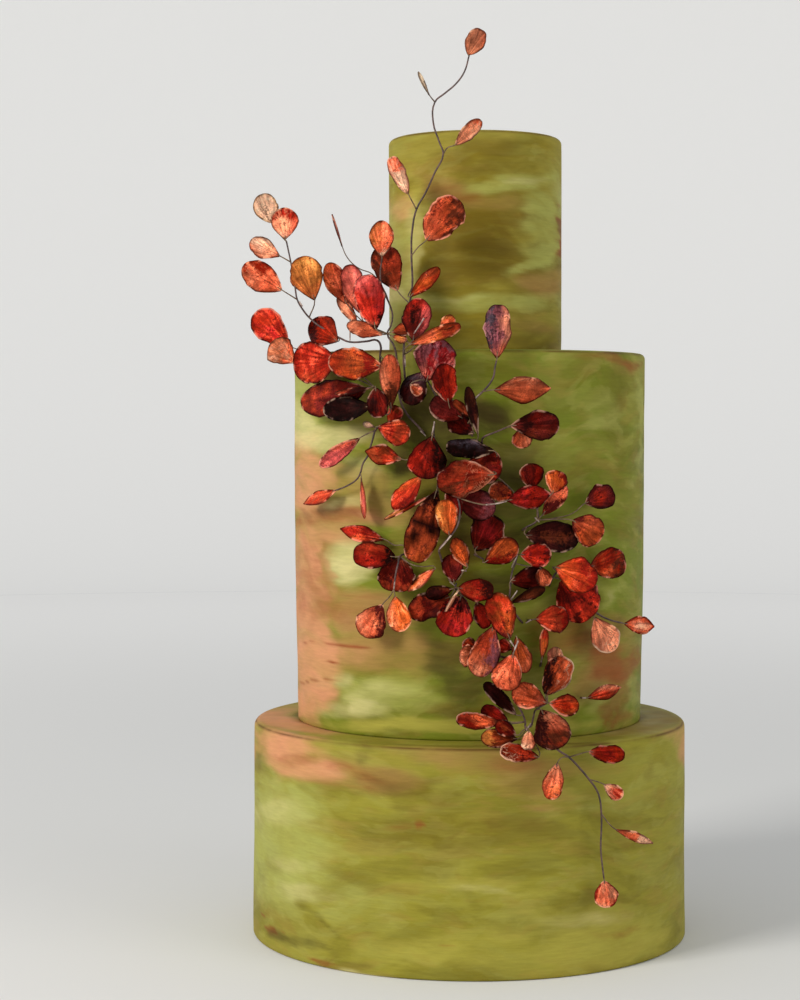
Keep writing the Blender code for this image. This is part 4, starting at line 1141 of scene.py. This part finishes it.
TWIGS["twig_low_left"] = {
    "stem": [(-77.5, 258.7, 8), (-71, 261.5, 8), (-66, 265, 8), (-64, 268.5, 8), (-62.5, 274, 9),
             (-59.5, 279, 9), (-58, 284, 9), (-56.5, 289, 9), (-55, 294, 9), (-52, 296.5, 7),
             (-48, 297, None)],
    "leaves": [
        leaf(0, "coral low~rust spots~scarlet base:brick lens", (-78, 258.7, 8), (-97.5, 250.5, 12),
             7.8, 8),
        leaf(3, "coral base~brick middle:pink", (-63.5, 266.5, 9), (-61.5, 242, 11), 3.6, 9),
        leaf(8, "pink top~rust right~wine low:pink", (-64, 289.5, 11), (-88, 272.8, 15), 9.5, -8),
        leaf(8, "brick top~rust spots~scarlet left:garnet", (-54, 296, 12), (-34.8, 290.5, 17),
             15.5, 4),
        leaf(8, "blush tip:pale", (-55.8, 296, 11), (-62.5, 298.2, 13), 3.6, 5),
        leaf(9, "scarlet base~bright spots~crimson top:chestnut", (-47.5, 298.5, 8),
             (-41, 307.5, 10), 9.5, -3),
    ],
}

# %% Twigs at the heart of the spray
TWIGS["twig_heart_top"] = {
    "stem": [(-24.5, 323, 9), (-18, 312, 8), (-10, 304, 7), (-2, 296, 5), (3, 289, None)],
    "leaves": [
        leaf(0, "mauve left~wine low~rose spots:crimson speckle", (-25, 323, 14), (-16, 347.5, 19),
             24.5, 3),
        leaf(0, "ink top~slate spots~wine base~mauve", (-27.5, 328, 11), (-36.5, 309.5, 13), 16, 3),
        leaf(0, "chestnut right~salmon right:pink", (-34.5, 320.5, 17), (-28, 315.5, 18), 7, 2,
             [(-30, 323, 16)]),
        leaf(2, "garnet right~scarlet left:maroon", (-12, 309.5, 19), (-15.5, 333, 25), 15.5, 3),
        leaf(2, "wine left~ink low:maroon", (-4, 301, 14), (-22.5, 311, 17), 15, 2),
        leaf(3, "ink left~maroon middle:maroon", (3, 292, 9), (-12, 302, 10), 13, 2),
        leaf(3, "rust low~umber right:coral", (0.5, 302, 20), (-9, 311.5, 22), 5.5, 5),
        leaf(4, "ink top~umber right:umber", (5.3, 291, 15), (-1, 319.5, 20), 7, 8,
             [(4.5, 288, 8)]),
    ],
}
TWIGS["twig_upper_right"] = {
    "stem": [(16, 334.5, 8), (15, 330, 8), (14.5, 326, 8), (12, 321, 8), (8, 316.5, 8),
             (3, 311.5, 6), (2, 304, None)],
    "leaves": [
        leaf(0, "mauve right~salmon base~coral left:slate speckle", (16.3, 336, 8), (17, 367.5, 14),
             16.5, -3),
        leaf(4, "terracotta top~salmon spots~brick low~rust lens", (14, 317.5, 11), (48, 318.5, 16),
             15.5, 3),
    ],
    "tape": [((3.5, 312.5, 7), (7, 316, 8.5))],
}
TWIGS["twig_dark_right"] = {
    "stem": [(22, 295.5, 10), (15, 292.5, 9), (9, 290, 7), (7.5, 286, None)],
    "leaves": [
        leaf(0, "maroon low~umber spots~wine left:ink", (24, 296.5, 12), (53, 297.5, 17), 17.5, 3),
        leaf(0, "terracotta left~brick right~salmon", (31, 295.5, 7), (31, 283.5, 9), 12, 2,
             [(27, 296, 8)]),
    ],
}
TWIGS["twig_heart_left"] = {
    "stem": [(-20.3, 298, 10), (-20.8, 292, 9), (-18.5, 280, 7), (-18, 268, 6), (-18.5, 258, 6),
             (-17, 249, None)],
    "leaves": [
        leaf(1, "maroon left~red spots~garnet right:black", (-21.5, 291, 14), (-27, 265.5, 19), 23,
             -3),
        leaf(2, "chestnut right~umber spots~scarlet left:rust lens", (-39.5, 276.8, 11),
             (-61.3, 281.8, 14), 12, -5, [(-27, 284, 9), (-36, 276.5, 10)]),
        leaf(3, "scarlet right~garnet top~bright low:garnet", (-27.5, 267.5, 10),
             (-44.8, 247.5, 14), 12.4, 3),
        leaf(4, "oxblood left~salmon left:caramel", (-22, 256, 12), (-50, 241.5, 16), 3.2, 9),
        leaf(4, "black tip~copper low~copper spots~rust base:black speckle", (-18.8, 259, 15),
             (-32.7, 216.5, 19), 20, -4),
    ],
    "tape": [((-21.7, 291, 10), (-20.3, 299, 11))],
}
TWIGS["twig_heart"] = {
    "stem": [(16, 276, 8), (13, 270, 7), (6, 264, 6), (-1, 259, 5), (-4, 256, None)],
    "leaves": [
        leaf(0, "black top~slate", (15, 281.5, 16), (-13.5, 284.5, 19), 11.5, 3),
        leaf(3, "wine right~garnet spots~brick top:maroon", (-3, 272, 9), (19.5, 274, 12), 21.5, 2),
        leaf(1, "brick top~umber spots~garnet left~maroon low:umber right^salmon", (15.3, 268, 18),
             (-19, 263.5, 24), 20.5, -3),
        leaf(3, "wine spots~maroon right~mauve", (-9, 254.5, 11), (15.5, 247, 13), 18, 2),
        leaf(1, "chestnut base~scarlet middle:maroon", (27, 255, 12), (11.7, 259.5, 15), 12, 2),
    ],
}
TWIGS["twig_flame"] = {
    "stem": [(-11, 257.5, 13), (-7, 254.3, 18), (-5.7, 250, 19), (-5.5, 245, 20), (-6.5, 238.5, 20),
             (-10.5, 232, 20), (-14, 228, 19), (-17.5, 223.3, 17), (-16.8, 220, 14), (-15, 214, 9),
             (-10.5, 204, None)],
    "leaves": [
        leaf(5, "bright right~scarlet spots~orange left~amber", (-11.5, 232, 21), (-14.5, 253, 25),
             13.5, 4),
        leaf(3, "maroon rim~wine low:garnet", (-5, 243, 16), (-12, 259, 18), 11, 3),
        leaf(9, "copper top~chestnut middle:sienna", (-0.7, 213.5, 14), (-9, 230.5, 17), 10.5, 4,
             [(-8, 205.5, 9), (-3, 211, 12)]),
        leaf(9, "wine top~brick left:maroon", (-9, 204, 10), (-10, 221, 11), 13.5, 2),
        leaf(1, "garnet right~maroon spots~crimson lens", (22, 252.5, 18), (48, 256.7, 22), 14.5,
             -2, [(0, 252, 19), (5, 250.7, 19), (10, 250, 19), (15, 250.6, 19)]),
    ],
    "tape": [((-10.5, 232, 21), (-14, 227.5, 19.5), (-17.5, 223.5, 18)),
             ((10, 250, 20), (15.5, 250.6, 20), (22, 252, 19)), ((-5, 211.5, 10), (-1.5, 211, 12)),
             ((-11, 204.5, 7), (-8, 202, 4))],
}
TWIGS["twig_crimson"] = {
    "stem": [(8.5, 218, 9), (5.5, 219.5, 6), (3, 221, None)],
    "leaves": [
        leaf(1, "maroon middle~crimson rim:black", (3.5, 223, 7), (16, 243.5, 6.5), 21, 2),
        leaf(0, "copper rim~wine low:garnet", (8.9, 216, 15), (28.5, 228, 21.5), 15, 3),
    ],
}
TWIGS["twig_fan_left"] = {
    "stem": [(-44.2, 200, 17), (-43, 210, 18), (-41.5, 216, 16), (-40.5, 219.5, 12), (-38, 221, 7),
             (-36, 221.5, None)],
    "leaves": [
        leaf(4, "red low~orange spots~scarlet right:garnet lens", (-49.5, 229.5, 10),
             (-76, 236, 14), 9.8, 6, [(-38, 225.5, 8), (-44, 226.2, 9)]),
        leaf(3, "garnet left~red top~brick base:black", (-43, 219.3, 12), (-68.3, 221, 16), 15.8,
             -3),
        leaf(4, "maroon base~umber low:brick", (-41.5, 219, 9), (-43.5, 199, 11), 22, 2),
        leaf(0, "bright rim~orange left~salmon", (-43.7, 196.5, 16), (-40, 175.3, 20), 14.8, 3),
        leaf(0, "coral left~salmon spots~rust right:wine speckle", (-50.7, 191.5, 13),
             (-62.5, 172.5, 17), 18.6, -3, [(-47, 195.5, 14)]),
        leaf(3, "coral low~salmon left:orange lens", (-19.8, 212.8, 14), (-36, 199, 16), 6.5, 7,
             [(-33.5, 214.7, 13), (-27, 213.5, 14)]),
    ],
    "tape": [((-43.4, 207.5, 18), (-44.2, 200.5, 17.5))],
}
TWIGS["twig_low_heart"] = {
    "stem": [(-7.5, 204, 9), (-7.8, 201, 9), (-5, 197, 7), (-1, 193, None)],
    "leaves": [
        leaf(1, "maroon top~black spots~brick tip:brick", (-11, 196, 10), (-35.3, 185.8, 14), 15.8,
             2),
        leaf(1, "ink right~maroon top:umber", (-9.5, 200.5, 14), (-25.5, 197, 16), 8.5, -2),
        leaf(1, "salmon top~blush left:blush", (-6.3, 199.7, 19), (-14, 187.3, 22), 2.2, 7),
        leaf(2, "red left~garnet spots~crimson top:ink speckle", (-4.5, 196.5, 14),
             (-11.5, 172.8, 18), 20.5, 2),
        leaf(1, "garnet spots~brick right:ink", (-6.5, 201, 14), (14.5, 198.7, 17), 13.5, 2),
        leaf(2, "wine left~black spots~red right:red", (4.5, 193, 8), (10.5, 177.5, 10), 10, 2),
    ],
}

# %% Twigs of the right side
TWIGS["twig_right_high"] = {
    "stem": [(43, 257, 9), (40, 250, 10), (40, 241, 10), (34, 237, 7), (31, 235, None)],
    "leaves": [
        leaf(0, "maroon rim~chestnut right:garnet", (37, 259.5, 10), (36.5, 274.5, 12), 14.5, 2),
        leaf(2, "sienna left~bright spots~rust right:garnet", (49, 257, 17), (53, 270, 19), 13.5, 2,
             [(41, 249.5, 16)]),
        leaf(2, "coral top~pink low:wine", (43, 244, 13), (57, 261.5, 15), 10.5, -4),
        leaf(2, "wine middle~oxblood base:ink", (68, 251, 15), (85, 258, 19), 14.5, 3,
             [(52, 242.5, 12), (61, 245.2, 14)]),
        leaf(3, "ink tip~black middle:umber", (33, 232.5, 11), (64.5, 230.5, 16), 18, 2),
        leaf(2, "rust left~brick top~coral spots~copper base:wine", (60.5, 241, 20),
             (78, 230.8, 23), 18, 3, [(50, 241.5, 17)]),
    ],
    "tape": [((38.8, 242.5, 10.5), (41.3, 239.8, 10.5))],
}
TWIGS["twig_right_mid"] = {
    "stem": [(70, 213, 11), (61, 211, 10), (52, 210.5, 9), (49.5, 207.5, 8), (47, 202, None)],
    "leaves": [
        leaf(2, "flame left~bright spots~scarlet right:red", (50.6, 213.5, 19), (75.3, 205, 24), 20,
             -3),
        leaf(0, "oxblood low~copper spots~rust tip:umber", (71, 213.8, 14), (92, 217.5, 17), 18.5,
             3),
        leaf(3, "garnet tip~scarlet rim~scarlet spots:maroon", (54, 206, 11), (72, 184, 15), 25, 2),
    ],
}
TWIGS["twig_right_low"] = {
    "stem": [(28.5, 220.5, 15), (27.2, 215.5, 12), (25.5, 211, 10), (24.2, 200, 9), (24, 191.5, 8),
             (26, 187.5, 6), (29, 183.5, 4), (32, 180, None)],
    "leaves": [
        leaf(0, "garnet low~scarlet spots~crimson right:maroon", (30, 220.7, 17), (48.5, 220.7, 21),
             14.5, 2),
        leaf(3, "ink low~maroon left:maroon", (24.5, 205, 10), (46, 208.5, 12), 14, 2),
        leaf(4, "umber spots~black", (24.5, 192.5, 9), (45, 201, 12), 6.5, 7),
        leaf(1, "terracotta left~ink top:chestnut", (42, 213, 14), (45.5, 202.5, 15), 9.5, -3,
             [(34, 214, 13)]),
    ],
    "tape": [((28.3, 220.5, 15.5), (25, 213, 12)), ((24, 193, 9), (28.5, 199.5, 10))],
}
TWIGS["leaf_mid"] = {
    "stem": [(37.5, 182.4, 10), (35.5, 182, 6), (34.5, 182, None)],
    "leaves": [leaf(0, "brick left~scarlet right:garnet", (38.7, 182.7, 11), (59, 183, 16), 15.6,
                    -2)],
    "tape": [((36.5, 182.3, 10), (33.5, 180.5, 9))],
}
TWIGS["twig_far_right"] = {
    "stem": [(90, 180.6, 10), (84, 182, 9), (78, 184.5, 8), (73.8, 187, 7), (68, 188.5, 4),
             (65, 189, None)],
    "leaves": [
        leaf(0, "coral middle~blush rim:scarlet lens", (91, 180.3, 11), (109, 178.7, 16), 10.8, 3),
        leaf(3, "salmon base~coral left~terracotta tip^pale", (73.6, 184.3, 10), (84.5, 164, 15),
             17, 3),
    ],
}

# %% Twigs of the tail
TWIGS["twig_tail_left"] = {
    "stem": [(24.2, 170, 12), (27.3, 165.3, 13), (28.5, 159, 7), (28.7, 154, None)],
    "leaves": [
        leaf(0, "copper left~garnet spots~scarlet base:wine", (24, 171, 13), (14.5, 198, 16), 17,
             -3),
        leaf(0, "brick left~rust tip~salmon spots~rust right:mauve speckle", (15, 179.5, 13),
             (5, 149, 17), 18.5, 2, [(20, 176, 10)]),
        leaf(2, "terracotta left~salmon", (8, 161, 10), (-5.7, 160.7, 12), 13, 2, [(18, 160, 8)]),
        leaf(2, "oxblood top~chestnut rim:umber", (6, 164, 6), (-3.5, 169.5, 7), 9, 2,
             [(18, 161, 7)]),
        leaf(1, "coral right~brick top~red spots~rust", (26.3, 162.5, 18), (20, 141, 23), 17.8, 3),
        leaf(1, "red low~scarlet", (25.5, 165, 9), (17, 168.5, 8), 8.5, 2),
        leaf(1, "copper tip~terracotta right:terracotta", (27.7, 172.8, 12), (33.8, 151.2, 14),
             11.5, -2, [(28.8, 169.5, 14)]),
    ],
    "tape": [((24.2, 170, 13), (27.3, 165.5, 14)), ((28.9, 169.8, 14), (25.8, 161.5, 17))],
}
TWIGS["leaf_upright"] = {
    "stem": [(42.8, 157.8, 6), (42.3, 156, 3), (42, 155, None)],
    "leaves": [leaf(0, "bright left~terracotta top:scarlet", (43, 159, 7), (45, 177.5, 6), 5.6, 5)],
    "tape": [((42.6, 157.2, 6), (43.1, 160, 7.2))],
}
TWIGS["leaf_low_right"] = {
    "stem": [(68.5, 136.3, 9), (67, 136.3, 5), (66, 136.3, None)],
    "leaves": [leaf(0, "scarlet tip~coral top~salmon low:brick lens", (69.5, 136.3, 10),
                    (89.5, 143, 13), 8.6, 6)],
    "tape": [((66.8, 136.2, 9), (69, 136.3, 9.6))],
}
TWIGS["twig_tail"] = {
    "stem": [(46.3, 133.2, 13), (42.5, 131, 12), (39.3, 129, 12), (38, 124.5, 13),
             (34.4, 118.5, 14), (33.3, 122, 12), (32, 126, 10), (29.5, 131, 6), (28.5, 135, None)],
    "leaves": [
        leaf(0, "rust low~brick spots~coral base~rose", (46.3, 133, 16), (25.5, 141, 20), 15.8, -2),
        leaf(0, "oxblood right~copper spots~brick low:copper", (47, 133.3, 15), (65, 131, 19), 12.8,
             3),
        leaf(0, "chestnut right~terracotta spots~rust left:ink right^pale", (45, 138, 12),
             (58, 160, 16), 17, 3),
        leaf(0, "salmon top~peach left~rose low~terracotta", (49.5, 152, 9), (51.5, 166.5, 10), 9.5,
             2, [(46.5, 144, 8)]),
        leaf(2, "umber top~salmon spots~brick left:ink speckle", (42.3, 129.5, 16), (54.3, 107, 22),
             22, -2),
        leaf(4, "salmon low~blush right~coral", (35.4, 117, 18), (35, 105.6, 22), 8.8, 2),
        leaf(4, "chestnut base~black tip:caramel", (29, 112, 15), (7, 112.7, 19), 11.5, 2,
             [(32, 115, 14)]),
        leaf(4, "maroon left~garnet spots~brick middle:chestnut", (28, 114, 18), (16, 121.5, 20),
             9.5, 2, [(32, 117, 16)]),
        leaf(5, "maroon middle~red spots~crimson middle:garnet", (23.5, 122, 11), (7.5, 130, 14),
             9.5, 2),
        leaf(5, "rust left~brick spots~maroon low:garnet", (19.5, 121, 16), (-7.5, 123.7, 20), 9.8,
             -2, [(28, 121, 14)]),
        leaf(4, "oxblood top~scarlet tip~copper spots~brick left^blush", (41.5, 101.3, 17),
             (18.5, 105.3, 20), 10.8, 2, [(37.5, 112, 14)]),
        leaf(6, "ink", (28.3, 126, 8), (9, 145, 11), 9, 4),
    ],
    "tape": [((34, 117, 15), (36.5, 121, 14.5))],
}
TWIGS["twig_drop"] = {
    "stem": [(79.8, 29.5, 10), (79, 36, 10), (78.3, 42, 9), (77.9, 48, 9), (78.3, 60, 8),
             (78.2, 68, 8), (76.9, 78, 8), (75, 82.5, 8), (71, 88, 8), (66, 94, 8), (59, 101.2, 9),
             (52, 106, 11), (49, 111, 8), (47, 117, None)],
    "leaves": [
        leaf(0, "salmon low~coral base~blush spots~coral rim:red", (80, 28.3, 11), (82, 12.3, 14),
             14.5, 3),
        leaf(5, "coral low~flame spots~salmon tip:blush lens", (86.5, 58.6, 12), (108.8, 50.6, 16),
             5.8, 7, [(82, 62.7, 10)]),
        leaf(8, "salmon left~blush spots~scarlet right:red", (79.5, 85.3, 12), (90.6, 77.8, 14),
             8.8, 6, [(75, 87, 9)]),
        leaf(10, "oxblood left~garnet middle:garnet", (70.5, 104.5, 15), (92, 102.5, 19), 10.8, 3,
             [(65, 103, 12)]),
        leaf(10, "coral low~flame spots~orange top~salmon", (52.3, 98, 11), (48, 76.3, 15), 12.6, 3,
             [(55, 101, 10)]),
    ],
}
print("twigs:", len(TWIGS), "leaves:", sum(len(plan["leaves"]) for plan in TWIGS.values()))

# %% [markdown]
# ## Making the twigs
# Each twig becomes two pieces, its leaves and its wires, because they are different stuff. Both
# stand for the same solid. A leaf's bow, cup and ruffle come from a seed made of its name, so
# that they are the same each time.

# %% Make all leaves and wires
def placed(name, mesh, node):
    """A finished piece that rides with the cake and stands for a solid."""
    piece = bpy.data.objects.new(name, mesh)
    bpy.context.scene.collection.objects.link(piece)
    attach(piece, "root")
    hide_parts(node)
    return piece


def make_twig(name, plan):
    """The leaves and the wires of one twig."""
    stem = [laid(*place) for place in plan["stem"]]
    strands = [(stem[::-1], *STEM)]
    strands += [([laid(*place) for place in bit], *TAPE) for bit in plan.get("tape", ())]
    gathered = bmesh.new()
    for number, shape in enumerate(plan["leaves"]):
        draw = random.Random(f"{name} {number}")
        for habit, span in LEAF_HABITS.items():
            shape[habit] = draw.uniform(*span)
        route = [stem[shape["fork"]]] + [laid(*place) for place in shape["via"]]
        route += [leaf_point(shape, 0.0, 0.0), leaf_point(shape, MIDRIB_END, 0.0)]
        strands.append((route, *WIRE))
        single = leaf_mesh(f"{name}_{number}", shape)
        gathered.from_mesh(single)
        bpy.data.meshes.remove(single)
    leaves = bpy.data.meshes.new(name + "_leaves")
    gathered.to_mesh(leaves)
    gathered.free()
    leaves.materials.append(PAINTED_PAPER)
    short = name.replace("twig_", "")
    placed(short + "_leaves", leaves, name)
    placed(short + "_wires", wires_mesh(name, strands), name)
    return len(leaves.polygons)


faces = {name: make_twig(name, plan) for name, plan in TWIGS.items()}
print("leaf faces:", sum(faces.values()), "most in one piece:", max(faces.values()))
